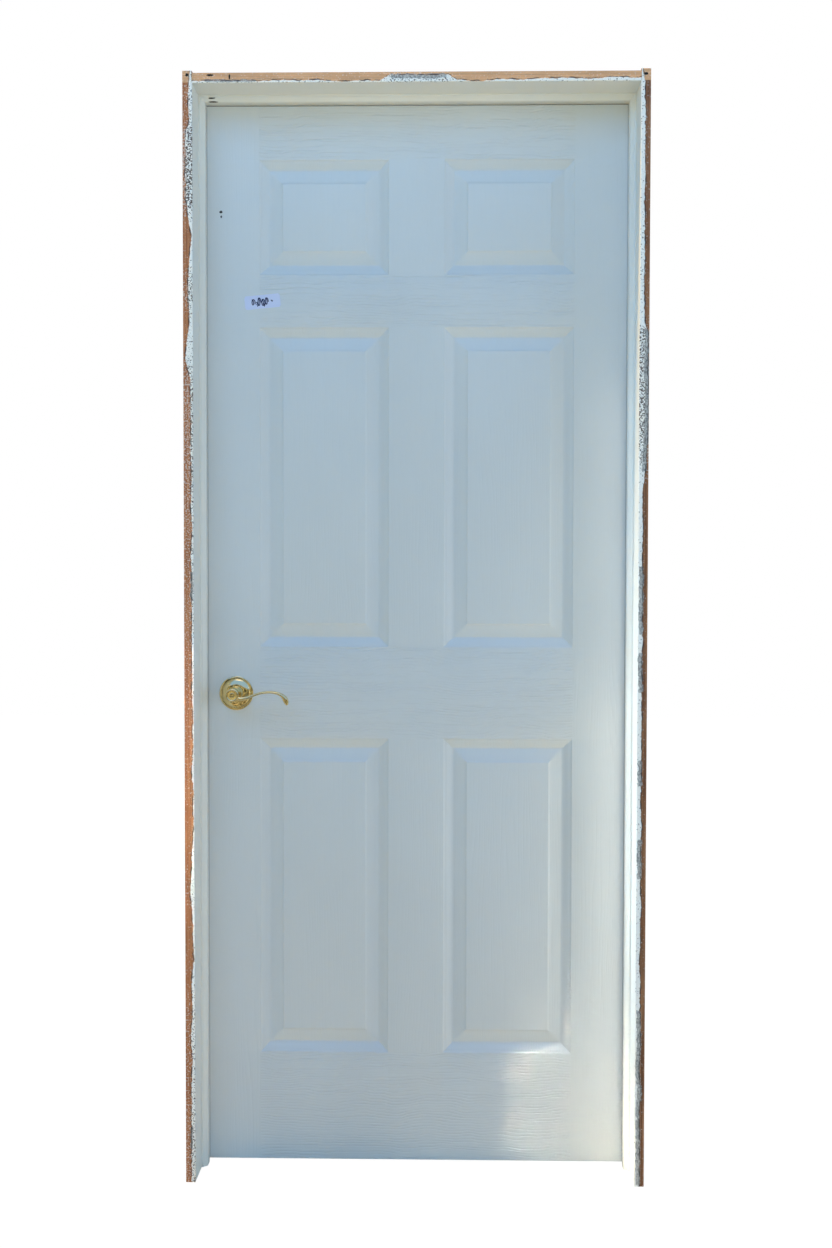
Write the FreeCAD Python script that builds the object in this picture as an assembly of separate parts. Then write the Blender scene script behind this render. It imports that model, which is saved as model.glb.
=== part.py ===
import FreeCAD, Part
import math
import os

os.makedirs("parts", exist_ok=True)

V = FreeCAD.Vector

# Interior prehung door, in millimetres. X runs towards the hinge side, Y from the stop side
# to the swing side, Z up. The origin is on the outer face of the hinge jamb, at its foot and
# half way through its depth.

# Door leaf
LEAF_W = 812.8
LEAF_H = 2032.0
LEAF_T = 34.9
LOCK_BEVEL_DEG = 3.0
SKIN_T = 3.2
STILE_W = 28.6
TOP_RAIL_H = 28.6
BOTTOM_RAIL_H = 38.0
LOCK_BLOCK_H = 500.0
LOCK_BLOCK_TO_PANEL = 5.4
FOOT_GAP = 7.0
REVEAL = 5.0

# Flat widths round the raised panels, and the low and middle rows' shares of the height that
# the flat widths leave
EDGE_TO_PANEL = 106.0
MULLION_W = 104.8
FLAT_BELOW_PANELS = 210.0
FLAT_AT_LOCK = 176.0
FLAT_UNDER_TOP_ROW = 99.0
FLAT_ABOVE_PANELS = 108.0
LOW_ROW_SHARE = 0.4239
MID_ROW_SHARE = 0.4246

# Panel moulding, measured in from the panel's edge and down from the skin's face
BEAD_W, BEAD_DROP = 3.4, 1.3
OGEE_W = 15.5
GROOVE_DEPTH = 9.0
GROOVE_W = 2.0
BEVEL_W = 21.5
BEVEL_TOP_DEPTH = 3.4
STEP_W = 4.0
FIELD_DEPTH = 1.4

# Frame
JAMB_T = 17.5
JAMB_D = 133.4
HORN_H = 4.0
DADO_DEPTH = 7.0
STOP_T = 11.1
STOP_W = 28.6
STOP_OGEE_W = 9.5
STOP_NOSE_T = 3.3
STOP_SEAT_GAP = 0.8

# Butt hinges, from the pin's centre
HINGE_H = 88.9
HINGE_PLATE_T = 2.2
HINGE_CORNER_R = 15.9
HINGE_BACKSET = 3.2
BARREL_R = 5.6
PIN_R = 3.0
PIN_HEAD_R = 4.8
PIN_HEAD_H = 2.6
PIN_OFFSET = 10.0
KNUCKLES = 5
KNUCKLE_GAP = 0.4
PIN_CLEAR = 0.05
TOP_HINGE_DROP = 178.0
BOTTOM_HINGE_RISE = 254.0

# Hinge screws, as shares of the plate's height and of its width in the wood
OUTER_SCREW_SHARE = 0.17
OUTER_SCREW_IN = 0.62
MIDDLE_SCREW_IN = 0.3

# Screws
SCREW_HEAD_R = 4.6
SCREW_SHANK_R = 2.1
SCREW_LEN = 16.0
SCREW_SLOT_W = 1.1
SCREW_SLOT_DEPTH = 0.9
SCREW_HOLE_CLEAR = 0.02

# Lever lock
BACKSET = 60.3
LOCK_RISE = 907.0
CROSS_BORE_R = 27.0
EDGE_BORE_R = 11.5
ROSE_R = 32.5
ROSE_H = 10.0
ROSE_RIM_W = 2.4
ROSE_RIM_H = 2.8
ROSE_RIM_ROUND = 1.2
ROSE_FLAT_W = 1.5
ROSE_WALL = 1.6
ROSE_BORE_R = 9.0
SHANK_CLEAR = 0.05
ROSE_TO_HUB_GAP = 0.5
HUB_BASE_R = 14.5
HUB_BASE_H = 2.5
HUB_NECK_R = 10.2
HUB_NECK_SHARE = 0.42
HUB_END_R = 12.6
HUB_END_ROLL = 3.0
LEVER_REACH = 62.0
HUB_DISH_R = 8.2
HUB_DISH_DEPTH = 2.2
BUTTON_R = 3.6
BUTTON_H = 1.4
SPINDLE_SIDE = 8.0
SPINDLE_CLEAR = 0.05
SPINDLE_GRIP = 30.0
CASE_BORE_CLEAR = 0.6
CASE_TO_PLATE = 1.4
LATCH_CASE_R = 11.0
LATCH_TAIL = 12.0
LATCH_PLATE_W = 25.4
LATCH_PLATE_H = 57.2
LATCH_PLATE_T = 2.0
LATCH_CORNER_R = 6.4
LATCH_BOLT_W = 14.0
LATCH_BOLT_H = 13.0
LATCH_BOLT_LEN = 21.0
LATCH_BOLT_CLEAR = 0.3
LATCH_SCREW_SPACING = 41.0

# Strike plate
STRIKE_W = 30.0
STRIKE_H = 69.8
STRIKE_T = 1.6
STRIKE_CORNER_R = 6.4
STRIKE_HOLE_W = 17.0
STRIKE_HOLE_H = 26.0
STRIKE_POCKET_DEPTH = 13.0
STRIKE_SCREW_SPACING = 45.0

# Places that follow from the sizes above
OPEN_W = LEAF_W + 2 * REVEAL
UNIT_W = OPEN_W + 2 * JAMB_T
HINGE_FACE_X = -JAMB_T
LEAF_HINGE_X = HINGE_FACE_X - REVEAL
LEAF_LOCK_X = LEAF_HINGE_X - LEAF_W
STRIKE_FACE_X = LEAF_LOCK_X - REVEAL
FRONT_Y = -JAMB_D / 2
BACK_Y = JAMB_D / 2
LEAF_FRONT_Y = BACK_Y - LEAF_T
LEAF_MID_Y = BACK_Y - LEAF_T / 2
LEAF_TOP_Z = FOOT_GAP + LEAF_H
HEAD_FOOT_Z = LEAF_TOP_Z + REVEAL
HEAD_TOP_Z = HEAD_FOOT_Z + JAMB_T
JAMB_H = HEAD_TOP_Z + HORN_H
STOP_BACK_Y = LEAF_FRONT_Y - STOP_SEAT_GAP
STOP_FRONT_Y = STOP_BACK_Y - STOP_W
PIN_X = HINGE_FACE_X - REVEAL / 2
PIN_Y = BACK_Y + PIN_OFFSET
LOCK_X = LEAF_LOCK_X + BACKSET
LOCK_Z = FOOT_GAP + LOCK_RISE
BEVEL_INSET = LEAF_T * math.tan(math.radians(LOCK_BEVEL_DEG))
PANEL_W = (LEAF_W - 2 * EDGE_TO_PANEL - MULLION_W) / 2
PANEL_COLUMNS = (EDGE_TO_PANEL, LEAF_W - EDGE_TO_PANEL - PANEL_W)
ROWS_H = LEAF_H - FLAT_BELOW_PANELS - FLAT_AT_LOCK - FLAT_UNDER_TOP_ROW - FLAT_ABOVE_PANELS
LOW_PANEL_H = ROWS_H * LOW_ROW_SHARE
MID_PANEL_H = ROWS_H * MID_ROW_SHARE
TOP_PANEL_H = ROWS_H - LOW_PANEL_H - MID_PANEL_H
MID_PANEL_FOOT = FLAT_BELOW_PANELS + LOW_PANEL_H + FLAT_AT_LOCK
TOP_PANEL_FOOT = LEAF_H - FLAT_ABOVE_PANELS - TOP_PANEL_H
PANEL_ROWS = ((FLAT_BELOW_PANELS, LOW_PANEL_H), (MID_PANEL_FOOT, MID_PANEL_H),
              (TOP_PANEL_FOOT, TOP_PANEL_H))
HINGE_FEET = {
    "bottom": FOOT_GAP + BOTTOM_HINGE_RISE,
    "middle": FOOT_GAP + (LEAF_H - TOP_HINGE_DROP + BOTTOM_HINGE_RISE - HINGE_H) / 2,
    "top": LEAF_TOP_Z - TOP_HINGE_DROP - HINGE_H,
}


def box(x0, x1, y0, y1, z0, z1):
    return Part.makeBox(x1 - x0, y1 - y0, z1 - z0, V(x0, y0, z0))


def extrude_outline(points, direction):
    return Part.Face(Part.makePolygon(points + [points[0]])).extrude(direction)


def save(name, shape):
    solid = shape.removeSplitter()
    solid.exportStep("parts/%s.step" % name)


def rounded_plate(width, height, thick, radius, round_left, round_right):
    # A plate in the XZ plane, centred on the origin, from Y 0 to its thickness
    plate = box(-width / 2, width / 2, 0, thick, -height / 2, height / 2)
    corners = []
    for edge in plate.Edges:
        a, b = edge.Vertexes[0].Point, edge.Vertexes[1].Point
        along_y = abs(a.y - b.y) > thick / 2
        wanted = round_left if a.x < 0 else round_right
        if along_y and wanted:
            corners.append(edge)
    return plate.makeFillet(radius, corners) if corners else plate


def countersunk_screw(clear=0.0):
    # Head face at the origin, shank towards +Y
    neck = SCREW_SHANK_R + clear
    head = SCREW_HEAD_R + clear
    cone = Part.makeCone(head, neck, head - neck, V(0, 0, 0), V(0, 1, 0))
    shank = Part.makeCylinder(neck, SCREW_LEN, V(0, 0, 0), V(0, 1, 0))
    return cone.fuse(shank)


def slotted_screw():
    screw = countersunk_screw()
    for turn in (0, 90):
        slot = box(-SCREW_HEAD_R * 0.55, SCREW_HEAD_R * 0.55, 0, SCREW_SLOT_DEPTH,
                   -SCREW_SLOT_W / 2, SCREW_SLOT_W / 2)
        slot.rotate(V(0, 0, 0), V(0, 1, 0), turn)
        screw = screw.cut(slot)
    return screw


def placed(shape, place, turn_deg=0.0):
    # Turned about Z, then moved
    copy = shape.copy()
    copy.rotate(V(0, 0, 0), V(0, 0, 1), turn_deg)
    copy.translate(place)
    return copy


def panel_profile():
    # Section of the moulded skin round a panel: X runs in from the panel's edge, Y is depth
    ogee_end = BEAD_W + OGEE_W
    groove_end = ogee_end + GROOVE_W
    bevel_end = groove_end + BEVEL_W
    curve = [V(BEAD_W, BEAD_DROP, 0),
             V(BEAD_W + OGEE_W * 0.3, BEAD_DROP + (GROOVE_DEPTH - BEAD_DROP) * 0.28, 0),
             V(BEAD_W + OGEE_W * 0.65, BEAD_DROP + (GROOVE_DEPTH - BEAD_DROP) * 0.8, 0),
             V(ogee_end, GROOVE_DEPTH, 0)]
    start, bead_top, bead_end = V(0, 0, 0), V(BEAD_W * 0.65, BEAD_DROP * 0.25, 0), curve[0]
    rest = [V(ogee_end, GROOVE_DEPTH, 0), V(groove_end, GROOVE_DEPTH, 0),
            V(bevel_end, BEVEL_TOP_DEPTH, 0), V(bevel_end + STEP_W, FIELD_DEPTH, 0)]
    ogee = Part.BSplineCurve()
    ogee.interpolate(curve)
    face_edges = [Part.Arc(start, bead_top, bead_end).toShape(), ogee.toShape()]
    face_edges += [Part.makeLine(a, b) for a, b in zip(rest, rest[1:])]
    drop = V(0, SKIN_T, 0)
    back_edges = [edge.translated(drop) for edge in face_edges]
    sides = [Part.makeLine(start, start + drop), Part.makeLine(rest[-1], rest[-1] + drop)]
    return Part.Face(Part.Wire(Part.__sortEdges__(face_edges + back_edges + sides)))


RING_W = BEAD_W + OGEE_W + GROOVE_W + BEVEL_W + STEP_W


def moulded_panel(width, height):
    # One raised panel, its lower left corner at the origin, its face towards -Y
    deep = GROOVE_DEPTH + SKIN_T
    profile = panel_profile()
    ring = None
    for turn, run, across in ((0, height, width), (90, width, height),
                              (180, height, width), (270, width, height)):
        side = profile.extrude(V(0, 0, run))
        mitre = extrude_outline([V(0, -1, 0), V(RING_W, -1, RING_W),
                                 V(RING_W, -1, run - RING_W), V(0, -1, run)], V(0, deep + 2, 0))
        side = side.common(mitre)
        side.translate(V(-across / 2, 0, -run / 2))
        side.rotate(V(0, 0, 0), V(0, 1, 0), turn)
        ring = side if ring is None else ring.fuse(side)
    half_w, half_h = width / 2 - RING_W, height / 2 - RING_W
    field = box(-half_w, half_w, FIELD_DEPTH, FIELD_DEPTH + SKIN_T, -half_h, half_h)
    panel = ring.fuse(field)
    panel.translate(V(width / 2, 0, height / 2))
    return panel


def moulded_skin():
    # Lower lock-side corner at the origin, face at Y 0 towards -Y
    skin = box(0, LEAF_W, 0, SKIN_T, 0, LEAF_H)
    panels = []
    for foot, height in PANEL_ROWS:
        panel = moulded_panel(PANEL_W, height)
        for x in PANEL_COLUMNS:
            skin = skin.cut(box(x, x + PANEL_W, -1, SKIN_T + 1, foot, foot + height))
            panels.append(panel.translated(V(x, 0, foot)))
    return skin.fuse(panels)


# Cuts the lock edge to its bevel, narrower on the stop side
bevel_cut = extrude_outline([V(LEAF_LOCK_X - 5, BACK_Y, 0), V(LEAF_LOCK_X, BACK_Y, 0),
                             V(LEAF_LOCK_X + BEVEL_INSET, LEAF_FRONT_Y, 0),
                             V(LEAF_LOCK_X - 5, LEAF_FRONT_Y, 0)], V(0, 0, LEAF_H))
bevel_cut.translate(V(0, 0, FOOT_GAP))

# Tools for the hinge mortises, screws and bores
mid_thickness_x = LEAF_LOCK_X + BEVEL_INSET / 2
latch_centre = V(mid_thickness_x, LEAF_MID_Y, LOCK_Z)
latch_turn = LOCK_BEVEL_DEG - 90
screw_tool = countersunk_screw(SCREW_HOLE_CLEAR)
screw = slotted_screw()

hinge_reach = LEAF_T - HINGE_BACKSET + PIN_OFFSET
plate_end_y = PIN_Y - hinge_reach
in_wood = hinge_reach - PIN_OFFSET
hinge_screws = []
for up, inwards in ((OUTER_SCREW_SHARE, OUTER_SCREW_IN), (0.5, MIDDLE_SCREW_IN),
                    (1 - OUTER_SCREW_SHARE, OUTER_SCREW_IN)):
    hinge_screws.append((plate_end_y + in_wood * inwards, HINGE_H * up))


def hinge_plate(towards_jamb):
    # Flat plate of one hinge, its foot at Z 0, its pin end square and the other end rounded
    plate = rounded_plate(hinge_reach, HINGE_H, HINGE_PLATE_T, HINGE_CORNER_R, True, False)
    plate.rotate(V(0, 0, 0), V(0, 0, 1), 90)
    plate.translate(V(HINGE_FACE_X + HINGE_PLATE_T, plate_end_y + hinge_reach / 2, HINGE_H / 2))
    if not towards_jamb:
        plate = plate.mirror(V(PIN_X, 0, 0), V(1, 0, 0))
    return plate


def hinge_knuckled(towards_jamb):
    pitch = HINGE_H / KNUCKLES
    first = 0 if towards_jamb else 1
    plate = hinge_plate(towards_jamb)
    barrel_room = Part.makeCylinder(BARREL_R + KNUCKLE_GAP, HINGE_H, V(PIN_X, PIN_Y, 0))
    own = plate.cut(barrel_room)
    for n in range(first, KNUCKLES, 2):
        low = n * pitch + (KNUCKLE_GAP / 2 if n > 0 else 0)
        high = (n + 1) * pitch - (KNUCKLE_GAP / 2 if n < KNUCKLES - 1 else 0)
        slice_box = box(PIN_X - hinge_reach, PIN_X + hinge_reach, plate_end_y, PIN_Y, low, high)
        own = own.fuse(plate.common(slice_box))
        own = own.fuse(Part.makeCylinder(BARREL_R, high - low, V(PIN_X, PIN_Y, low)))
    own = own.cut(Part.makeCylinder(PIN_R + PIN_CLEAR, HINGE_H, V(PIN_X, PIN_Y, 0)))
    side = 1 if towards_jamb else -1
    for y, z in hinge_screws:
        hole = placed(screw_tool, V(PIN_X + side * REVEAL / 2, y, z), -90 * side)
        own = own.cut(hole)
    return own


def hinge_screw_set(towards_jamb, shape):
    side = 1 if towards_jamb else -1
    return [placed(shape, V(PIN_X + side * REVEAL / 2, y, z), -90 * side) for y, z in hinge_screws]


# Side and head jambs
def side_jamb(outer_x, inner_x):
    jamb = box(min(outer_x, inner_x), max(outer_x, inner_x), FRONT_Y, BACK_Y, 0, JAMB_H)
    inwards = -1 if inner_x < outer_x else 1
    dado = [inner_x - inwards * DADO_DEPTH, inner_x + inwards]
    return jamb.cut(box(min(dado), max(dado), FRONT_Y, BACK_Y, HEAD_FOOT_Z, HEAD_TOP_Z))


hinge_jamb = side_jamb(0.0, HINGE_FACE_X)
for foot in HINGE_FEET.values():
    hinge_jamb = hinge_jamb.cut(hinge_plate(True).translated(V(0, 0, foot)))
    for tool in hinge_screw_set(True, screw_tool):
        hinge_jamb = hinge_jamb.cut(tool.translated(V(0, 0, foot)))
save("hinge_jamb", hinge_jamb)

strike_centre = V(STRIKE_FACE_X, LEAF_MID_Y, LOCK_Z)
strike_plate = rounded_plate(STRIKE_W, STRIKE_H, STRIKE_T, STRIKE_CORNER_R, True, True)
strike_hole = box(-STRIKE_HOLE_W / 2, STRIKE_HOLE_W / 2, -1, STRIKE_POCKET_DEPTH,
                  -STRIKE_HOLE_H / 2, STRIKE_HOLE_H / 2)
strike_jamb = side_jamb(-UNIT_W, STRIKE_FACE_X)
strike_jamb = strike_jamb.cut(placed(strike_plate, strike_centre, 90))
strike_jamb = strike_jamb.cut(placed(strike_hole, strike_centre, 90))
strike_screws = []
for z in (-STRIKE_SCREW_SPACING / 2, STRIKE_SCREW_SPACING / 2):
    hole = placed(screw_tool, strike_centre + V(0, 0, z), 90)
    strike_jamb = strike_jamb.cut(hole)
    strike_plate = strike_plate.cut(screw_tool.translated(V(0, 0, z)))
    strike_screws.append(placed(screw, strike_centre + V(0, 0, z), 90))
save("strike_jamb", strike_jamb)
save("strike_plate", placed(strike_plate.cut(strike_hole), strike_centre, 90))
save("strike_screws", Part.makeCompound(strike_screws))

head_jamb = box(STRIKE_FACE_X - DADO_DEPTH, HINGE_FACE_X + DADO_DEPTH, FRONT_Y, BACK_Y,
                HEAD_FOOT_Z, HEAD_TOP_Z)
save("head_jamb", head_jamb)


# Door stops, mitred at the top corners
def stop_profile():
    # X is the stop's thickness from the jamb, Y its width, with the moulded edge at Y 0
    curve = Part.BSplineCurve()
    rise = STOP_T - STOP_NOSE_T
    curve.interpolate([V(STOP_NOSE_T, 0, 0), V(STOP_NOSE_T + rise * 0.3, STOP_OGEE_W * 0.3, 0),
                       V(STOP_NOSE_T + rise * 0.7, STOP_OGEE_W * 0.5, 0), V(STOP_T, STOP_OGEE_W, 0)])
    ring = [V(STOP_T, STOP_OGEE_W, 0), V(STOP_T, STOP_W, 0), V(0, STOP_W, 0), V(0, 0, 0),
            V(STOP_NOSE_T, 0, 0)]
    edges = [curve.toShape()] + [Part.makeLine(a, b) for a, b in zip(ring, ring[1:])]
    return Part.Face(Part.Wire(Part.__sortEdges__(edges)))


strike_stop = stop_profile().extrude(V(0, 0, HEAD_FOOT_Z))
mitre_cut = extrude_outline([V(0, -1, HEAD_FOOT_Z), V(STOP_T + 1, -1, HEAD_FOOT_Z - STOP_T - 1),
                             V(STOP_T + 1, -1, HEAD_FOOT_Z)], V(0, STOP_W + 2, 0))
strike_stop = strike_stop.cut(mitre_cut)
strike_stop.translate(V(STRIKE_FACE_X, STOP_FRONT_Y, 0))
centre_x = (STRIKE_FACE_X + HINGE_FACE_X) / 2
hinge_stop = strike_stop.mirror(V(centre_x, 0, 0), V(1, 0, 0))
head_stop = stop_profile().extrude(V(0, 0, OPEN_W))
head_mitre = extrude_outline([V(0, -1, 0), V(STOP_T, -1, STOP_T),
                              V(STOP_T, -1, OPEN_W - STOP_T), V(0, -1, OPEN_W)],
                             V(0, STOP_W + 2, 0))
head_stop = head_stop.common(head_mitre)
head_stop.rotate(V(0, 0, 0), V(0, 1, 0), 90)
head_stop.translate(V(STRIKE_FACE_X, STOP_FRONT_Y, HEAD_FOOT_Z))
save("strike_stop", strike_stop)
save("hinge_stop", hinge_stop)
save("head_stop", head_stop)

# Hinges
jamb_half = hinge_knuckled(True)
leaf_half = hinge_knuckled(False)
pin = Part.makeCylinder(PIN_R, HINGE_H, V(PIN_X, PIN_Y, 0))
pin_head = Part.makeCylinder(PIN_HEAD_R, PIN_HEAD_H, V(PIN_X, PIN_Y, HINGE_H))
pin_head = pin_head.makeFillet(PIN_HEAD_H * 0.4, [pin_head.Edges[0]])
pin_tip = Part.makeSphere(PIN_R, V(PIN_X, PIN_Y, 0))
pin = pin.fuse(pin_head).fuse(pin_tip)
for name, foot in HINGE_FEET.items():
    lift = V(0, 0, foot)
    save("%s_hinge_jamb_plate" % name, jamb_half.translated(lift))
    save("%s_hinge_leaf_plate" % name, leaf_half.translated(lift))
    save("%s_hinge_pin" % name, pin.translated(lift))
    for side, towards_jamb in (("jamb", True), ("leaf", False)):
        screws = Part.makeCompound(hinge_screw_set(towards_jamb, screw))
        save("%s_hinge_%s_screws" % (name, side), screws.translated(lift))

# Door leaf: two moulded skins over a wood frame
skin = moulded_skin()
cross_bore = Part.makeCylinder(CROSS_BORE_R, 4 * LEAF_T, V(LOCK_X, LEAF_MID_Y - 2 * LEAF_T, LOCK_Z),
                               V(0, 1, 0))
front_skin = skin.translated(V(LEAF_LOCK_X, LEAF_FRONT_Y, FOOT_GAP))
back_skin = front_skin.mirror(V(0, LEAF_MID_Y, 0), V(0, 1, 0))
mortises = []
for foot in HINGE_FEET.values():
    mortises += [hinge_plate(False).translated(V(0, 0, foot))]
    mortises += [tool.translated(V(0, 0, foot)) for tool in hinge_screw_set(False, screw_tool)]
save("front_skin", front_skin.cut([bevel_cut, cross_bore]))
save("back_skin", back_skin.cut([bevel_cut, cross_bore] + mortises))

inner_front_y, inner_back_y = LEAF_FRONT_Y + SKIN_T, BACK_Y - SKIN_T
latch_plate = rounded_plate(LATCH_PLATE_W, LATCH_PLATE_H, LATCH_PLATE_T, LATCH_CORNER_R, True, True)
plate_pocket = placed(latch_plate, latch_centre, latch_turn)
edge_bore = Part.makeCylinder(EDGE_BORE_R, BACKSET, latch_centre, V(1, 0, 0))
latch_screws = []
latch_screw_holes = []
for z in (-LATCH_SCREW_SPACING / 2, LATCH_SCREW_SPACING / 2):
    latch_screws.append(placed(screw.translated(V(0, 0, z)), latch_centre, latch_turn))
    latch_screw_holes.append(placed(screw_tool.translated(V(0, 0, z)), latch_centre, latch_turn))

lock_stile = box(LEAF_LOCK_X, LEAF_LOCK_X + STILE_W, inner_front_y, inner_back_y,
                 FOOT_GAP, LEAF_TOP_Z)
save("lock_stile", lock_stile.cut([bevel_cut, plate_pocket, edge_bore, cross_bore]
                                  + latch_screw_holes))
save("latch_screws", Part.makeCompound(latch_screws))

hinge_stile = box(LEAF_HINGE_X - STILE_W, LEAF_HINGE_X, inner_front_y, inner_back_y,
                  FOOT_GAP, LEAF_TOP_Z)
save("hinge_stile", hinge_stile.cut(mortises))

rail_x0, rail_x1 = LEAF_LOCK_X + STILE_W, LEAF_HINGE_X - STILE_W
save("top_rail", box(rail_x0, rail_x1, inner_front_y, inner_back_y,
                     LEAF_TOP_Z - TOP_RAIL_H, LEAF_TOP_Z))
save("bottom_rail", box(rail_x0, rail_x1, inner_front_y, inner_back_y,
                        FOOT_GAP, FOOT_GAP + BOTTOM_RAIL_H))
lock_block = box(rail_x0, LEAF_LOCK_X + EDGE_TO_PANEL - LOCK_BLOCK_TO_PANEL,
                 inner_front_y, inner_back_y,
                 LOCK_Z - LOCK_BLOCK_H / 2, LOCK_Z + LOCK_BLOCK_H / 2)
save("lock_block", lock_block.cut([cross_bore, edge_bore]))

# Tubular latch, its bolt drawn back flush
def bolt_box(low, high, clear):
    return box(-LATCH_BOLT_W / 2 - clear, LATCH_BOLT_W / 2 + clear, low, high,
               -LATCH_BOLT_H / 2 - clear, LATCH_BOLT_H / 2 + clear)


latch_face = latch_plate.cut(bolt_box(-LATCH_PLATE_T, 2 * LATCH_PLATE_T, LATCH_BOLT_CLEAR))
for z in (-LATCH_SCREW_SPACING / 2, LATCH_SCREW_SPACING / 2):
    latch_face = latch_face.cut(screw_tool.translated(V(0, 0, z)))
save("latch_face_plate", placed(latch_face, latch_centre, latch_turn))
latch_bolt = placed(bolt_box(0, LATCH_BOLT_LEN, 0), latch_centre, latch_turn)
save("latch_bolt", latch_bolt)
case_start = latch_centre + V(LATCH_PLATE_T + CASE_TO_PLATE, 0, 0)
case_length = LOCK_X + LATCH_TAIL - case_start.x
latch_case = Part.makeCylinder(LATCH_CASE_R, case_length, case_start, V(1, 0, 0))
spindle_hole_r = SPINDLE_SIDE / math.sqrt(2) + CASE_BORE_CLEAR
spindle_hole = Part.makeCylinder(spindle_hole_r, LEAF_T, V(LOCK_X, LEAF_FRONT_Y, LOCK_Z), V(0, 1, 0))
save("latch_case", latch_case.cut([spindle_hole, latch_bolt]))


# Roses and levers are made for the front, facing -Y, then mirrored for the back
def turned_about_lock(runs):
    # A section of straight and curved runs, end to end; points are (radius, distance out)
    edges = []
    for curved, points in runs:
        places = [V(LOCK_X + r, LEAF_FRONT_Y - out, LOCK_Z) for r, out in points]
        if curved:
            curve = Part.BSplineCurve()
            curve.interpolate(places)
            edges.append(curve.toShape())
        else:
            edges += [Part.makeLine(a, b) for a, b in zip(places, places[1:])]
    face = Part.Face(Part.Wire(edges))
    return face.revolve(V(LOCK_X, 0, LOCK_Z), V(0, 1, 0), 360)


def dome(inner_r, high, outer_r, low, steps=8):
    # A quarter-ellipse fall from the inner radius to the outer one
    points = []
    for n in range(steps + 1):
        angle = math.pi / 2 * n / steps
        points.append((inner_r + (outer_r - inner_r) * math.sin(angle),
                       low + (high - low) * math.cos(angle)))
    return points


rim_inner = ROSE_R - ROSE_RIM_W
flat_end = HUB_BASE_R + ROSE_FLAT_W
dome_foot = ROSE_RIM_H + ROSE_RIM_ROUND
ceiling = ROSE_H - ROSE_WALL
outer_dome = dome(flat_end, ROSE_H, rim_inner, dome_foot)
inner_dome = dome(flat_end, ceiling, rim_inner - ROSE_WALL, dome_foot - ROSE_WALL)
rim = [outer_dome[-1], (ROSE_R, ROSE_RIM_H), (ROSE_R, 0), (ROSE_R - ROSE_WALL, 0), inner_dome[-1]]
sleeve = [(flat_end, ceiling), (ROSE_BORE_R + ROSE_WALL, ceiling), (ROSE_BORE_R + ROSE_WALL, 0),
          (ROSE_BORE_R, 0), (ROSE_BORE_R, ROSE_H), (flat_end, ROSE_H)]
rose = turned_about_lock([(True, outer_dome), (False, rim), (True, inner_dome[::-1]),
                          (False, sleeve)])

shank_r = ROSE_BORE_R - SHANK_CLEAR
hub_foot = ROSE_H + ROSE_TO_HUB_GAP
base_top = hub_foot + HUB_BASE_H
neck_out = hub_foot + (LEVER_REACH - hub_foot) * HUB_NECK_SHARE
roll_start = LEVER_REACH - HUB_END_ROLL
dish_floor = LEVER_REACH - HUB_DISH_DEPTH
waist = [(HUB_BASE_R, base_top),
         (HUB_NECK_R + (HUB_BASE_R - HUB_NECK_R) * 0.3, base_top + (neck_out - base_top) * 0.4),
         (HUB_NECK_R, neck_out),
         (HUB_NECK_R + (HUB_END_R - HUB_NECK_R) * 0.4, neck_out + (roll_start - neck_out) * 0.5),
         (HUB_END_R, roll_start)]
roll = dome((HUB_END_R + HUB_DISH_R) / 2, LEVER_REACH, HUB_END_R, roll_start)[::-1]
roll_in = dome((HUB_END_R + HUB_DISH_R) / 2, LEVER_REACH, HUB_DISH_R, dish_floor)
button_top = dish_floor + BUTTON_H
hub = turned_about_lock([(False, [(0, 0), (shank_r, 0), (shank_r, hub_foot), (HUB_BASE_R, hub_foot),
                                  waist[0]]),
                         (True, waist), (True, roll), (True, roll_in),
                         (False, [roll_in[-1], (BUTTON_R, dish_floor)]),
                         (True, dome(0, button_top, BUTTON_R, dish_floor)[::-1]),
                         (False, [(0, button_top), (0, 0)])])

# Wave of the arm: run from the hub, rise, distance out from the leaf, height, depth
ARM = [(0.0, -4.0, 52.0, 9.0, 11.0), (14.4, -7.0, 51.5, 7.4, 11.0), (27.3, -5.0, 51.0, 6.0, 10.5),
       (40.0, -0.2, 50.5, 5.2, 10.0), (54.0, 4.0, 50.0, 4.8, 10.0), (69.5, 5.6, 49.0, 4.8, 10.0),
       (83.0, 3.8, 48.0, 5.4, 10.5), (93.0, -1.0, 47.0, 7.4, 11.0), (99.0, -8.0, 46.5, 10.2, 11.0),
       (101.5, -14.5, 46.2, 9.0, 9.5), (102.3, -18.2, 46.1, 4.4, 5.0)]


def lever_arm():
    sections = []
    for n, (run, rise, out, height, depth) in enumerate(ARM):
        before, after = ARM[max(n - 1, 0)], ARM[min(n + 1, len(ARM) - 1)]
        along = V(after[0] - before[0], before[2] - after[2], after[1] - before[1])
        ring = Part.Ellipse(V(0, 0, 0), depth / 2, height / 2)
        wire = Part.Wire(ring.toShape())
        wire.Placement = FreeCAD.Placement(
            V(LOCK_X + run, LEAF_FRONT_Y - out, LOCK_Z + rise),
            FreeCAD.Rotation(V(0, -1, 0), along.cross(V(0, -1, 0)), along, "ZXY"))
        sections.append(wire)
    return Part.makeLoft(sections, True, False)


def spindle_bar(side, front_y, back_y):
    return box(LOCK_X - side / 2, LOCK_X + side / 2, front_y, back_y, LOCK_Z - side / 2, LOCK_Z + side / 2)


spindle_front_y = LEAF_FRONT_Y - SPINDLE_GRIP
socket = spindle_bar(SPINDLE_SIDE + 2 * SPINDLE_CLEAR, spindle_front_y, LEAF_FRONT_Y)
lever = hub.fuse(lever_arm()).cut(socket)
across = (V(0, LEAF_MID_Y, 0), V(0, 1, 0))
save("front_rose", rose)
save("back_rose", rose.mirror(*across))
save("front_lever", lever)
save("back_lever", lever.mirror(*across))
save("spindle", spindle_bar(SPINDLE_SIDE, spindle_front_y, BACK_Y + SPINDLE_GRIP))
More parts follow.
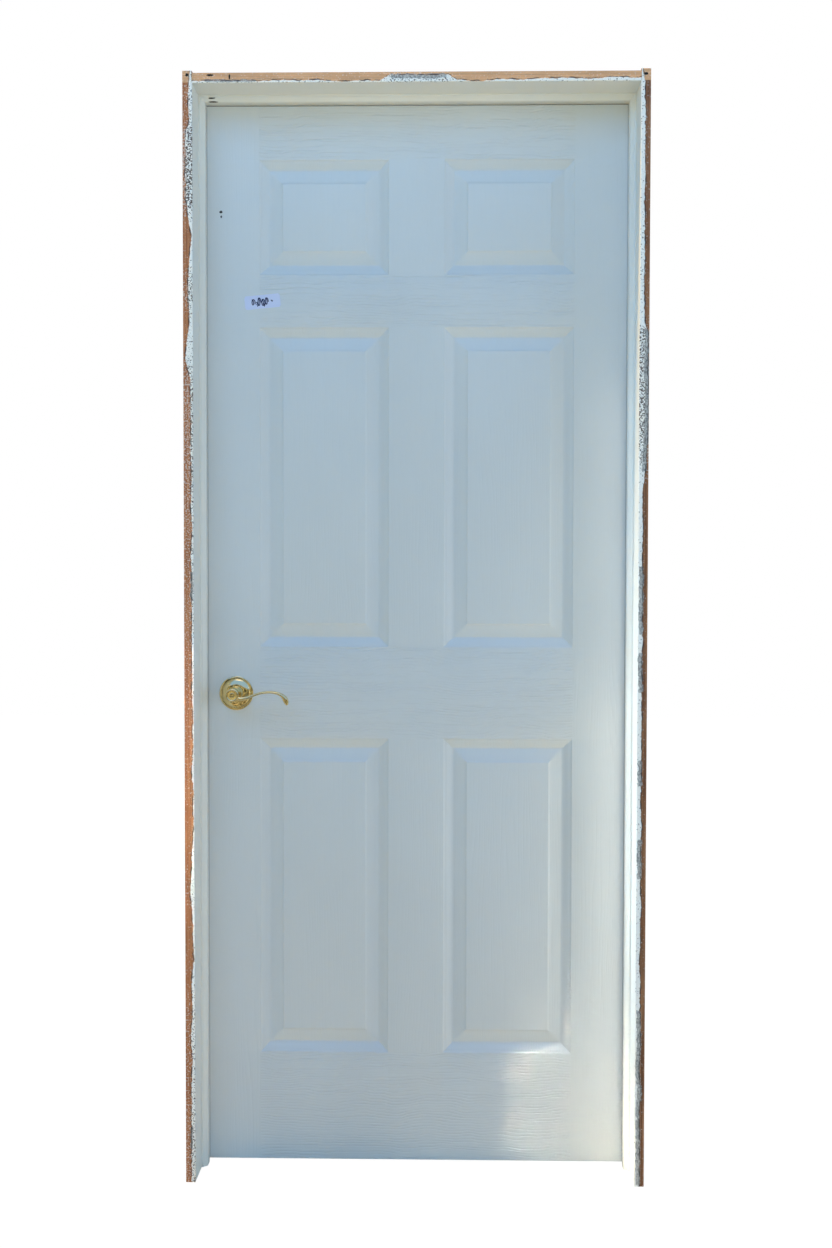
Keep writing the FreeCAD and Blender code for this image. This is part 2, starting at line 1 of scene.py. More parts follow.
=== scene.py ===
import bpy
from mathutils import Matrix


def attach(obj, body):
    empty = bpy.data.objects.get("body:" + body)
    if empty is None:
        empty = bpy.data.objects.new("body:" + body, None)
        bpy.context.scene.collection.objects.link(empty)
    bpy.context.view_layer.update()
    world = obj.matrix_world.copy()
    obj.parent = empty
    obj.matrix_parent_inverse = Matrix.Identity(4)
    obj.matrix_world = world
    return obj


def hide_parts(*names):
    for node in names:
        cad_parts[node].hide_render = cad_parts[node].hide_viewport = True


bl_info = {
    "name": "Interior Door",
    "version": (1, 0, 0),
    "blender": (4, 5, 0),
    "location": "3D View > Sidebar > Door",
    "description": "Dresses a prehung raised-panel door: skins, frame, hinges, lever and studio",
    "category": "Object",
}

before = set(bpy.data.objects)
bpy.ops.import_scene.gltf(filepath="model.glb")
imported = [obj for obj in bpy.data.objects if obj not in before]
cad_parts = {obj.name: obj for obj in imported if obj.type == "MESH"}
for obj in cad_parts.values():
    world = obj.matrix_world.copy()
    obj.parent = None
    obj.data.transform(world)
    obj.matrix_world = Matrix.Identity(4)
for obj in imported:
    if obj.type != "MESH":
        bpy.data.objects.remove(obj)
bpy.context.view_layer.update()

import math

import bmesh
import bpy
import numpy as np
from bpy.props import FloatProperty, FloatVectorProperty, IntProperty, PointerProperty
from mathutils import Matrix, Vector, noise

MM = 0.001

# Sizes shared with the CAD source, in millimetres
LEAF_W = 812.8
LEAF_H = 2032.0
LEAF_T = 34.9
SKIN_T = 3.2
FOOT_GAP = 7.0
REVEAL = 5.0
JAMB_T = 17.5
JAMB_D = 133.4
HORN_H = 4.0
STOP_T = 11.1
STOP_W = 28.6
STOP_SEAT = 0.8
STOP_NOSE = 3.3
STOP_OGEE = 9.5
PANEL_W = 248.0
MULLION_W = 104.8
# Foot above the leaf's foot, and height, of each row of panels
PANEL_ROWS = ((210.0, 610.0), (996.0, 611.0), (1706.0, 218.0))
BACKSET = 60.3
LOCK_RISE = 907.0
ROSE_R = 32.5
ROSE_H = 10.0
ROSE_WALL = 1.6
ROSE_BORE_R = 9.0
HUB_FOOT = 10.5
HUB_BASE_R = 14.5
HUB_NECK_R = 10.2
HUB_END_R = 12.6
LEVER_REACH = 62.0
DISH_R = 8.2
DISH_FLOOR = 59.8

# Places worked out from them
HINGE_FACE_X = -JAMB_T
LEAF_LOCK_X = HINGE_FACE_X - REVEAL - LEAF_W
STRIKE_FACE_X = LEAF_LOCK_X - REVEAL
OPEN_W = LEAF_W + 2 * REVEAL
UNIT_W = OPEN_W + 2 * JAMB_T
BACK_Y = JAMB_D / 2
FRONT_Y = -BACK_Y
LEAF_FRONT_Y = BACK_Y - LEAF_T
STOP_FRONT_Y = LEAF_FRONT_Y - STOP_SEAT - STOP_W
LEAF_TOP_Z = FOOT_GAP + LEAF_H
HEAD_FOOT_Z = LEAF_TOP_Z + REVEAL
HEAD_TOP_Z = HEAD_FOOT_Z + JAMB_T
JAMB_H = HEAD_TOP_Z + HORN_H
CENTRE_X = -UNIT_W / 2
LOCK_X = LEAF_LOCK_X + BACKSET
LOCK_Z = FOOT_GAP + LOCK_RISE
LOCK_BEVEL = math.tan(math.radians(3.0))
PANEL_MARGIN = (LEAF_W - 2 * PANEL_W - MULLION_W) / 2
PANEL_COLUMNS = (PANEL_MARGIN, PANEL_MARGIN + PANEL_W + MULLION_W)

# Finer sizes that only the looks need
STOP_COVER = STOP_T - REVEAL
# Widths of the painted shade line along the gap where the closed leaf meets the stops
GAP_SHADE_TOP_W = 1.5
GAP_SHADE_SIDE_W = 1.1
GRAIN_PITCH = 5.5
TURN_SEGMENTS = 96
LABEL_X = 112.0
LABEL_Z = 1656.0
LABEL_TILT = math.radians(5.5)
FLOOR_HALF = 9000.0

# Camera fitted to the photograph's edges: turns about Z, X and Y in degrees, then its place in millimetres,
# right of the unit's middle, in front of the frame and above the floor
CAMERA_TURN = (1.1557, -1.8478, -0.0909)
CAMERA_RIGHT = 55.7
CAMERA_FRONT = 2674.6
CAMERA_HIGH = 1137.3

# Wave of the lever's arm: run from the hub, rise, distance out from the leaf, height, depth
ARM = [(0.0, -4.0, 52.0, 9.0, 11.0), (14.4, -7.0, 51.5, 7.4, 11.0), (27.3, -5.0, 51.0, 6.0, 10.5),
       (40.0, -0.2, 50.5, 5.2, 10.0), (54.0, 4.0, 50.0, 4.8, 10.0), (69.5, 5.6, 49.0, 4.8, 10.0),
       (83.0, 3.8, 48.0, 5.4, 10.5), (93.0, -1.0, 47.0, 7.4, 11.0), (99.0, -8.0, 46.5, 10.2, 11.0),
       (101.5, -14.5, 46.2, 9.0, 9.5), (102.3, -17.2, 46.1, 6.0, 6.5)]

# Wear along an edge of the frame: place, share of the width still painted, specks of old paint
STRIKE_WEAR = ((0, 0.45, 0.7), (330, 0.35, 0.5), (480, 0.15, 0.1), (545, 0.5, 0.4), (640, 0.15, 0.2),
               (1060, 0.22, 0.5), (1390, 0.25, 0.8), (1500, 0.3, 0.8), (1540, 0.85, 0.4),
               (1600, 0.4, 0.1), (1655, 0.5, 0.8), (1720, 0.4, 0.2), (1765, 0.1, 0.1),
               (1800, 0.5, 0.5), (1835, 0.72, 1.0), (1955, 0.72, 1.0), (1970, 0.45, 0.5), (2066, 0.3, 0.5))
HINGE_WEAR = ((0, 0.5, 0.1), (1300, 0.46, 0.1), (1385, 0.9, 0.9), (1585, 0.9, 0.9),
              (1610, 0.48, 0.2), (2034, 0.48, 0.2), (2066, 0.2, 0.3))
HEAD_WEAR = ((0, 0.2, 0.3), (140, 0.22, 0.3), (345, 0.12, 0.2), (362, 0.75, 0.5), (470, 0.7, 0.5),
             (485, 0.14, 0.2), (600, 0.16, 0.2), (640, 0.3, 0.2), (823, 0.34, 0.2))
# Where old caulk stands beside the paint, from and to
STRIKE_CAULK = ((60, 110), (1090, 1150))
HINGE_CAULK = ((0, 335), (575, 655), (748, 802), (922, 1001), (1029, 1161), (1330, 1595))
HEAD_CAULK = ((20, 120), (362, 470))
# Nail holes in the head's edge: X, Z, width and height
NAIL_HOLES = ((-849.5, 2058.0, 5.5, 6.5), (-807.0, 2057.3, 13.0, 4.0), (-771.0, 2054.0, 3.0, 9.0),
              (-9.0, 2056.0, 7.0, 5.0))
# Chips in the leaf: from its lock edge, from its foot, width and height
LEAF_CHIPS = ((33.0, 1826.0, 6.6, 5.0), (33.4, 1817.0, 3.4, 4.6))
# Chips on the head stop: from the strike stop, share of the way back along its moulding, width and height
STOP_CHIPS = ((14.0, 0.22, 13.0, 2.4), (15.5, 0.86, 21.0, 2.8))
# Pen loops on the label: start, run, height, turns and line
PEN_LOOPS = ((-20, 4, 5.0, 1.4, 0.5), (-8, 3, 7.0, 1.3, 0.5), (-1, 4, 6.0, 1.6, -1.5), (6, 3, 6.0, 1.3, 0.5),
             (-12.5, 1.2, 1.2, 0.5, -1.5), (-12, 1.2, 1.6, 0.5, -6.0), (0, 2, 2.5, 0.5, -6.5),
             (16.0, 1.5, 1.0, 0.5, 0.0))


def panel_section():
    """Depth of the moulding against distance in from a panel's edge, in millimetres."""
    ogee_run, ogee_drop = 15.4, 6.55
    bevel_run, bevel_rise = 21.5, 5.3
    quirk = [(0.0, 0.0), (0.5, 0.1), (1.0, 0.5), (1.6, 1.15), (2.2, 1.65), (3.5, 2.45)]
    across, depth = quirk[-1]
    ogee = []
    for n in range(1, 13):
        t = n / 12
        ogee.append((across + ogee_run * t, depth + ogee_drop * (t * t * (3 - 2 * t) * 0.5 + t * 0.5)))
    groove = [(19.7, 9.05), (20.3, 9.0), (20.9, 8.8)]
    across, depth = groove[-1]
    bevel = [(across + bevel_run * t, depth - bevel_rise * t) for t in (0.25, 0.5, 0.75, 0.97)]
    step = [(42.7, 3.3), (43.4, 2.9), (44.2, 2.3), (45.0, 1.75), (45.8, 1.46), (46.4, 1.4)]
    return quirk + ogee + groove + bevel + step


SECTION = panel_section()


class DoorPaint(bpy.types.PropertyGroup):
    """Colour and finish of the painted surfaces."""

    leaf_colour: FloatVectorProperty(name="Leaf Paint", description="Paint on the leaf", subtype="COLOR",
                                     size=3, min=0, max=1, default=(0.68, 0.69, 0.68))
    frame_colour: FloatVectorProperty(name="Frame Paint", description="Paint on the jambs and stops",
                                      subtype="COLOR", size=3, min=0, max=1, default=(0.82, 0.81, 0.76))
    gloss_roughness: FloatProperty(name="Roughness", description="Roughness of the semi-gloss paint",
                                   subtype="FACTOR", min=0, max=1, default=0.32)
    grain_depth: FloatProperty(name="Grain Depth", description="Depth of the grain pressed into the skins",
                               subtype="DISTANCE", unit="LENGTH", min=0, default=0.0005)


class DoorWear(bpy.types.PropertyGroup):
    """The bare and caulked edges that the casing left."""

    pine_colour: FloatVectorProperty(name="Bare Wood", description="Bare wood on the jambs' edges",
                                     subtype="COLOR", size=3, min=0, max=1, default=(0.52, 0.165, 0.055))
    film_colour: FloatVectorProperty(name="Edge Paint", description="Paint left along the edges",
                                     subtype="COLOR", size=3, min=0, max=1, default=(0.96, 0.93, 0.87))
    caulk_colour: FloatVectorProperty(name="Old Caulk", description="Dirty caulk left on the edges",
                                      subtype="COLOR", size=3, min=0, max=1, default=(0.18, 0.175, 0.165))
    caulk_height: FloatProperty(name="Caulk Height", description="How far the caulk stands off the wood",
                                subtype="DISTANCE", unit="LENGTH", min=0, default=0.0009)
    seed: IntProperty(name="Seed", description="Pattern of the torn paint", min=0, default=7)


class DoorHardware(bpy.types.PropertyGroup):
    """Finish of the lever, roses, hinges and plates."""

    brass_colour: FloatVectorProperty(name="Brass", description="Polished brass", subtype="COLOR",
                                      size=3, min=0, max=1, default=(0.85, 0.68, 0.33))
    brass_roughness: FloatProperty(name="Brass Roughness", description="Roughness of the polished brass",
                                   subtype="FACTOR", min=0, max=1, default=0.05)


class DoorStage(bpy.types.PropertyGroup):
    """Camera and studio light."""

    lens: FloatProperty(name="Lens", description="Focal length", subtype="DISTANCE_CAMERA", min=1,
                        default=41.71)
    sky_strength: FloatProperty(name="Sky", description="Strength of the soft light all round", min=0,
                                default=1.0)
    key_power: FloatProperty(name="Key", description="Power of the high cool front light", subtype="POWER",
                             unit="POWER", min=0, default=99.0)
    fill_power: FloatProperty(name="Fill", description="Power of the fill from the right", subtype="POWER",
                              unit="POWER", min=0, default=22.0)
    sun_power: FloatProperty(name="Sun", description="Power of the warm light from the upper left",
                             subtype="POWER", unit="POWER", min=0, default=190.0)
    low_sun_power: FloatProperty(name="Low Sun", description="Power of the narrow light at the leaf's foot",
                                 subtype="POWER", unit="POWER", min=0, default=1.0)
    glow_power: FloatProperty(name="Glow", description="Power of each light that comes off the hinge jamb",
                              subtype="POWER", unit="POWER", min=0, default=0.2)


# Mesh helpers

def shade_smooth(mesh, sharp_angle):
    """Smooth shading with edges above an angle in degrees kept sharp."""
    mesh.polygons.foreach_set("use_smooth", [True] * len(mesh.polygons))
    mesh.set_sharp_from_angle(angle=math.radians(sharp_angle))


def new_object(name, verts, faces, material, sharp_angle=None, attributes=()):
    """A mesh object in metres from points in millimetres."""
    mesh = bpy.data.meshes.new(name)
    mesh.from_pydata([Vector(v) * MM for v in verts], [], faces)
    for label, domain, values in attributes:
        mesh.attributes.new(label, "FLOAT", domain).data.foreach_set("value", np.asarray(values, np.float32))
    work = bmesh.new()
    work.from_mesh(mesh)
    bmesh.ops.recalc_face_normals(work, faces=work.faces)
    work.to_mesh(mesh)
    work.free()
    if sharp_angle is not None:
        shade_smooth(mesh, sharp_angle)
    mesh.materials.append(material)
    piece = bpy.data.objects.new(name, mesh)
    bpy.context.scene.collection.objects.link(piece)
    return piece


def finish_piece(piece, body, replaced=()):
    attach(piece, body)
    if replaced:
        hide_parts(*replaced)


def paint_node(name, material):
    """Gives a carried-over CAD node its material."""
    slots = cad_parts[name].data.materials
    slots.clear()
    slots.append(material)


def ring_faces(low, high, count):
    """Four-sided faces between two rings of points, from the number of each ring's first point."""
    return [(low + n, low + (n + 1) % count, high + (n + 1) % count, high + n) for n in range(count)]


def shell(outer, inner, diagonal=None, tag=None):
    """Points and faces of a closed thin piece between two grids of points, row by row."""
    rows, cols = len(outer), len(outer[0])
    back = rows * cols
    verts = [p for row in outer for p in row] + [p for row in inner for p in row]
    faces, tags = [], []
    for k in range(rows - 1):
        for i in range(cols - 1):
            a, b = k * cols + i, k * cols + i + 1
            d, c = a + cols, b + cols
            split = diagonal(k, i) if diagonal else 0
            cell = {0: [(a, b, c, d)], 1: [(a, b, c), (a, c, d)], 2: [(a, b, d), (b, c, d)]}[split]
            for face in cell:
                faces += [face, tuple(v + back for v in reversed(face))]
                tags += [tag(k, i) if tag else 0.0] * 2
    rim = list(range(cols)) + [k * cols + cols - 1 for k in range(1, rows)]
    rim += [(rows - 1) * cols + i for i in range(cols - 2, -1, -1)]
    rim += [k * cols for k in range(rows - 2, 0, -1)]
    for a, b in zip(rim, rim[1:] + rim[:1]):
        faces.append((a, a + back, b + back, b))
        tags.append(0.0)
    return verts, faces, tags


def turned(outline, base_y, side):
    """A surface of revolution about the lever's axis; outline points are (radius, distance out)."""
    verts, faces, rings = [], [], []
    for r, out in outline:
        count = 1 if r < 1e-6 else TURN_SEGMENTS
        rings.append((len(verts), count))
        for n in range(count):
            a = 2 * math.pi * n / TURN_SEGMENTS
            verts.append((LOCK_X + r * math.cos(a), base_y - side * out, LOCK_Z + r * math.sin(a)))
    for (a, count_a), (b, count_b) in zip(rings, rings[1:]):
        for n in range(TURN_SEGMENTS):
            m = (n + 1) % TURN_SEGMENTS
            ring = [a + n % count_a, a + m % count_a, b + m % count_b, b + n % count_b]
            faces.append(tuple(dict.fromkeys(ring)))
    return verts, faces


def quarter(inner_r, high, outer_r, low, steps=12):
    """A quarter-ellipse fall from the inner radius to the outer one."""
    points = []
    for n in range(steps + 1):
        a = math.pi / 2 * n / steps
        points.append((inner_r + (outer_r - inner_r) * math.sin(a), low + (high - low) * math.cos(a)))
    return points


def smooth_curve(points, steps):
    """Catmull-Rom curve through rows of numbers."""
    rows = np.array(points, float)
    padded = np.vstack([2 * rows[0] - rows[1], rows, 2 * rows[-1] - rows[-2]])
    out = []
    for p0, p1, p2, p3 in zip(padded, padded[1:], padded[2:], padded[3:]):
        for n in range(steps):
            t = n / steps
            out.append(0.5 * (2 * p1 + (p2 - p0) * t + (2 * p0 - 5 * p1 + 4 * p2 - p3) * t * t
                              + (3 * p1 - p0 - 3 * p2 + p3) * t ** 3))
    return out + [rows[-1]]


def blob(name, centre, up, size, lift, material, body, seed):
    """A small ragged flake or smear on a surface that runs along X and the way up given."""
    across, up, centre = Vector((1, 0, 0)), Vector(up).normalized(), Vector(centre)
    out = lift * across.cross(up)
    count = 28
    rim, top = [], []
    for n in range(count):
        a = 2 * math.pi * n / count
        ragged = 1 + 0.25 * noise.noise(Vector((math.cos(a) * 1.7, math.sin(a) * 1.7, seed * 3.1)))
        offset = across * (math.cos(a) * size[0] / 2 * ragged) + up * (math.sin(a) * size[1] / 2 * ragged)
        rim.append(centre + offset)
        top.append(centre + offset * 0.8 + out)
    faces = [tuple(reversed(range(count)))] + ring_faces(0, count, count)
    faces += [(count + n, count + (n + 1) % count, 2 * count) for n in range(count)]
    finish_piece(new_object(name, rim + top + [centre + out], faces, material, 40), body)


# Node helpers

class Net:
    """Adds and links the nodes of one node tree."""

    def __init__(self, tree):
        self.tree = tree

    def add(self, kind, **settings):
        """A new node, with its settings by name."""
        node = self.tree.nodes.new("ShaderNode" + kind)
        for label, value in settings.items():
            setattr(node, label, value)
        return node

    def feed(self, value, socket):
        """Links an output to a socket, or sets a number, vector or colour on it."""
        if isinstance(value, bpy.types.NodeSocket):
            self.tree.links.new(value, socket)
        elif socket.type == "RGBA":
            socket.default_value = tuple(value)[:3] + (1.0,)
        else:
            socket.default_value = value

    def math(self, operation, *values):
        """One step of arithmetic on numbers or outputs."""
        node = self.add("Math", operation=operation)
        for value, socket in zip(values, node.inputs):
            self.feed(value, socket)
        return node.outputs[0]

    def plus(self, a, b):
        return self.math("ADD", a, b)

    def minus(self, a, b):
        return self.math("SUBTRACT", a, b)

    def times(self, a, b):
        return self.math("MULTIPLY", a, b)

    def mix(self, factor, a, b, blend="MIX"):
        """Mixes two colours."""
        node = self.add("Mix", data_type="RGBA", blend_type=blend)
        for value, n in ((factor, 0), (a, 6), (b, 7)):
            self.feed(value, node.inputs[n])
        return node.outputs[2]

    def tint(self, colour, tone):
        """A colour times a tone that changes over the surface."""
        return self.mix(1.0, colour, tone, "MULTIPLY")

    def mix_values(self, factor, a, b):
        """Mixes two plain values."""
        node = self.add("Mix")
        for value, n in ((factor, 0), (a, 2), (b, 3)):
            self.feed(value, node.inputs[n])
        return node.outputs[0]

    def mix_shaders(self, factor, a, b):
        node = self.add("MixShader")
        for value, socket in zip((factor, a.outputs[0], b.outputs[0]), node.inputs):
            self.feed(value, socket)
        return node.outputs[0]

    def remap(self, source, low, high, to_low=0.0, to_high=1.0):
        """A value stretched from one range to another, and kept inside it."""
        node = self.add("MapRange")
        for label, value in (("Value", source), ("From Min", low), ("From Max", high), ("To Min", to_low),
                             ("To Max", to_high)):
            self.feed(value, node.inputs[label])
        return node.outputs["Result"]

    def noise(self, vector, scale, detail=3.0, roughness=0.55):
        """Noise whose scale differs along X, Y and Z."""
        mapping = self.add("Mapping")
        self.feed(vector, mapping.inputs["Vector"])
        self.feed(scale, mapping.inputs["Scale"])
        texture = self.add("TexNoise")
        for label, value in (("Vector", mapping.outputs[0]), ("Scale", 1.0), ("Detail", detail),
                             ("Roughness", roughness)):
            self.feed(value, texture.inputs[label])
        return texture.outputs["Fac"]

    def split(self, vector):
        """The X, Y and Z of a vector."""
        node = self.add("SeparateXYZ")
        self.feed(vector, node.inputs[0])
        return node.outputs

    def attribute(self, name):
        """A value that the mesh carries."""
        return self.add("Attribute", attribute_name=name).outputs["Fac"]

    def object_place(self):
        return self.add("TexCoord").outputs["Object"]

    def place(self, effect, **values):
        """Places a shared effect at the object's own coordinates, with its values."""
        node = self.add("Group", node_tree=effect_group(effect))
        for label, value in dict(Vector=self.object_place(), **values).items():
            self.feed(value, node.inputs[label])
        return node.outputs

    def bump(self, height, distance, normal):
        """Feeds a shader's normal from a height; distance is in metres."""
        node = self.add("Bump")
        self.feed(height, node.inputs["Height"])
        self.feed(distance, node.inputs["Distance"])
        self.feed(node.outputs["Normal"], normal)


def pressed_grain(net, given):
    """Wood grain pressed into the skins: up and down, or across where Across is 1."""
    heights = []
    for axis, slow, fine, drift, share in (("X", (14.0, 20.0, 1.6), (620.0, 60.0, 14.0), 0.075, 0.62),
                                           ("Z", (8.0, 20.0, 9.0), (14.0, 60.0, 620.0), 0.04, 1.15)):
        sway = net.times(net.noise(given["Vector"], slow, 2.0, 0.45), drift)
        place = net.plus(net.split(given["Vector"])[axis], sway)
        wave = net.math("SINE", net.times(place, 2 * math.pi / (GRAIN_PITCH * MM)))
        broken = net.remap(net.noise(given["Vector"], [v * 0.35 for v in fine], 2.0), 0.35, 0.65)
        groove = net.times(net.remap(wave, 0.1, 1.0), broken)
        pores = net.remap(net.noise(given["Vector"], fine, 3.0, 0.6), 0.45, 0.62)
        heights.append(net.minus(1.0, net.plus(net.times(groove, share), net.times(pores, 0.3))))
    height = net.mix_values(given["Across"], net.remap(heights[0], 0.0, 1.0, 0.65, 1.0), heights[1])
    return height, net.remap(height, 0.1, 1.0, 0.975, 1.0)


def paint_film(net, given):
    """Brushed paint: faint streaks along Z, orange peel, and slow changes of tone."""
    streaks = net.noise(given["Vector"], (300.0, 300.0, 9.0), 3.0, 0.5)
    peel = net.noise(given["Vector"], (260.0, 260.0, 260.0), 2.0, 0.5)
    cloud = net.noise(given["Vector"], (3.0, 3.0, 2.0), 3.0, 0.6)
    return (net.plus(net.times(streaks, 0.6), net.times(peel, 0.5)),
            net.remap(cloud, 0.3, 0.7, 0.97, 1.02), net.remap(cloud, 0.3, 0.7, -0.04, 0.05))


def bare_wood(net, given):
    """Bare softwood: streaks along the grain, or across it where Across is 1, and stains."""
    along = net.noise(given["Vector"], (330.0, 330.0, 7.0), 4.0, 0.6)
    across = net.noise(given["Vector"], (7.0, 330.0, 330.0), 4.0, 0.6)
    rings = net.mix_values(given["Across"], along, across)
    stain = net.noise(given["Vector"], (24.0, 24.0, 24.0), 4.0, 0.65)
    light = net.mix(0.3, given["Wood"], (0.80, 0.42, 0.20))
    dark = net.mix(0.4, given["Wood"], (0.05, 0.02, 0.01))
    colour = net.mix(net.remap(rings, 0.35, 0.65), dark, light)
    return net.mix(net.remap(stain, 0.52, 0.74, 0.0, 0.65), colour, dark), rings


def torn_edge(net, given):
    """A mask from the mesh made into a torn edge, with specks and fine cracked lines."""
    rough = net.noise(given["Vector"], (420.0, 420.0, 260.0), 3.0, 0.6)
    torn = net.plus(given["Mask"], net.times(net.minus(rough, 0.5), 0.9))
    dots = net.noise(given["Vector"], (330.0, 330.0, 330.0), 2.0, 0.5)
    speckled = net.plus(dots, net.times(given["Specks"], 0.18))
    waves = net.noise(given["Vector"], (230.0, 230.0, 60.0), 3.0, 0.6)
    ridge = net.math("ABSOLUTE", net.minus(waves, 0.5))
    inside = net.minus(net.times(given["Specks"], 0.014), ridge)
    return net.remap(torn, 0.44, 0.56), net.remap(speckled, 0.65, 0.71), net.remap(inside, 0.0, 0.008)


def polish_wear(net, given):
    """Faint smears on polished metal."""
    smear = net.noise(given["Vector"], (60.0, 60.0, 60.0), 4.0, 0.6)
    return (net.plus(given["Roughness"], net.remap(smear, 0.4, 0.75, 0.0, 0.1)),
            net.remap(smear, 0.3, 0.8, 1.0, 0.86))


# What fills in each shared effect, its inputs besides Vector, and its outputs
EFFECTS = {
    "Pressed Grain": (pressed_grain, {"Across": 0.0}, ("Height", "Tone")),
    "Paint Film": (paint_film, {}, ("Height", "Tone", "Gloss")),
    "Bare Wood": (bare_wood, {"Wood": (0.4, 0.2, 0.11, 1.0), "Across": 0.0}, ("Color", "Height")),
    "Torn Edge": (torn_edge, {"Mask": 0.0, "Specks": 0.0}, ("Mask", "Specks", "Lines")),
    "Polish Wear": (polish_wear, {"Roughness": 0.1}, ("Roughness", "Tone")),
}


def effect_group(name):
    """The node group of a shared effect, built where it is first placed."""
    if name not in bpy.data.node_groups:
        fill, inputs, outputs = EFFECTS[name]
        tree = bpy.data.node_groups.new(name, "ShaderNodeTree")
        tree.interface.new_socket(name="Vector", in_out="INPUT", socket_type="NodeSocketVector")
        for label, default in inputs.items():
            kind = "NodeSocketFloat" if isinstance(default, float) else "NodeSocketColor"
            tree.interface.new_socket(name=label, in_out="INPUT", socket_type=kind).default_value = default
        for label in outputs:
            kind = "NodeSocketColor" if label == "Color" else "NodeSocketFloat"
            tree.interface.new_socket(name=label, in_out="OUTPUT", socket_type=kind)
        given = tree.nodes.new("NodeGroupInput").outputs
        result = tree.nodes.new("NodeGroupOutput").inputs
        net = Net(tree)
        for label, value in zip(outputs, fill(net, given)):
            net.feed(value, result[label])
    return bpy.data.node_groups[name]


# Materials

def new_material(name):
    """A material, its net, and the inputs of its shader."""
    material = bpy.data.materials.new(name)
    material.use_nodes = True
    tree = material.node_tree
    return material, Net(tree), tree.nodes["Principled BSDF"].inputs


def skin_material():
    paint = bpy.context.scene.door_paint
    material, net, shader = new_material("semi_gloss_skin_paint")
    grain = net.place("Pressed Grain", Across=net.attribute("grain_across"))
    film = net.place("Paint Film")
    clean = net.tint(paint.leaf_colour, net.times(grain["Tone"], film["Tone"]))
    # Painted shade: a dark line on the leaf along the gap where it meets the stops
    gap_shade_colour = (0.12, 0.11, 0.09)
    net.feed(net.mix(net.attribute("painted_gap_shade"), clean, gap_shade_colour), shader["Base Color"])
    net.feed(net.plus(film["Gloss"], paint.gloss_roughness), shader["Roughness"])
    net.bump(grain["Height"], paint.grain_depth, shader["Normal"])
    return material


def painted_wood(name, colour, roughness):
    material, net, shader = new_material(name)
    film = net.place("Paint Film")
    net.feed(net.tint(colour, film["Tone"]), shader["Base Color"])
    net.feed(net.plus(film["Gloss"], roughness), shader["Roughness"])
    net.bump(film["Height"], 0.0001, shader["Normal"])
    return material


def plain_wood(name, colour, across=0.0):
    material, net, shader = new_material(name)
    wood = net.place("Bare Wood", Wood=colour, Across=across)
    net.feed(wood["Color"], shader["Base Color"])
    net.feed(0.75, shader["Roughness"])
    net.bump(wood["Height"], 0.0004, shader["Normal"])
    return material


def jamb_material(name, across):
    """Paint on the faces round the opening, bare wood on the outer faces, edges and ends."""
    paint, wear = bpy.context.scene.door_paint, bpy.context.scene.door_wear
    material, net, shader = new_material(name)
    film = net.place("Paint Film")
    pale = 0.6 * Vector(wear.pine_colour) + Vector((0.22, 0.17, 0.10))
    wood = net.place("Bare Wood", Wood=pale, Across=across)
    split = net.split(net.object_place())
    skin = 0.0004
    bare = net.math("GREATER_THAN", split["X"], -skin)
    for test in (net.math("LESS_THAN", split["X"], -UNIT_W * MM + skin),
                 net.math("GREATER_THAN", net.math("ABSOLUTE", split["Y"]), BACK_Y * MM - skin),
                 net.math("GREATER_THAN", split["Z"], HEAD_TOP_Z * MM - skin),
                 net.math("LESS_THAN", split["Z"], skin)):
        bare = net.math("MAXIMUM", bare, test)
    painted = net.tint(paint.frame_colour, film["Tone"])
    net.feed(net.mix(bare, painted, wood["Color"]), shader["Base Color"])
    net.feed(net.remap(bare, 0.0, 1.0, 0.42, 0.78), shader["Roughness"])
    net.bump(film["Height"], 0.0001, shader["Normal"])
    return material


def edge_material(name, wood_colour, across):
    """Bare wood under torn paint and caulk, from the masks that the edge's mesh carries."""
    wear = bpy.context.scene.door_wear
    material, net, shader = new_material(name)
    wood = net.place("Bare Wood", Wood=wood_colour, Across=across)
    torn = {label: net.place("Torn Edge", Mask=net.attribute(label), Specks=net.attribute("specks"))
            for label in ("paint", "caulk", "crack")}
    specks, lines = torn["paint"]["Specks"], torn["paint"]["Lines"]
    crumbs = net.place("Torn Edge", Mask=0.5)["Mask"]
    dirty = net.mix(specks, wear.film_colour, (0.13, 0.09, 0.07))
    caulk = net.mix(net.times(crumbs, 0.4), wear.caulk_colour, wear.film_colour)
    flecked = net.mix(net.times(specks, 0.45), wood["Color"], wear.film_colour)
    colour = net.mix(torn["paint"]["Mask"], flecked, dirty)
    colour = net.mix(net.times(torn["caulk"]["Mask"], 0.85), colour, caulk)
    colour = net.mix(net.times(torn["crack"]["Mask"], 0.9), colour, (0.04, 0.03, 0.025))
    cracked = net.times(lines, torn["paint"]["Mask"])
    net.feed(net.mix(net.times(cracked, 0.85), colour, (0.04, 0.035, 0.035)), shader["Base Color"])
    net.feed(0.6, shader["Roughness"])
    net.bump(wood["Height"], 0.0003, shader["Normal"])
    return material


def brass(name, colour, roughness):
    """Polished or plated metal; the colour tells brass from steel."""
    material, net, shader = new_material(name)
    wear = net.place("Polish Wear", Roughness=roughness)
    net.feed(net.tint(colour, wear["Tone"]), shader["Base Color"])
    net.feed(wear["Roughness"], shader["Roughness"])
    net.feed(1.0, shader["Metallic"])
    return material


def plain_finish(name, colour, roughness):
    material, net, shader = new_material(name)
    film = net.place("Paint Film")
    net.feed(net.tint(colour, film["Tone"]), shader["Base Color"])
    net.feed(roughness, shader["Roughness"])
    return material


# Leaf

def leaf_lines(spans, length):
    """Grid lines across or up the leaf: the section's lines at both ends of each span."""
    lines = [0.0, 0.3, 1.0, length - 1.0, length - 0.3, length]
    for u in (STOP_COVER, STOP_COVER + GAP_SHADE_SIDE_W, STOP_COVER + GAP_SHADE_TOP_W):
        lines += [u, length - u]
    for low, high in spans:
        for u, _ in SECTION:
            lines += [low + u, high - u]
    return sorted(set(round(v, 4) for v in lines))


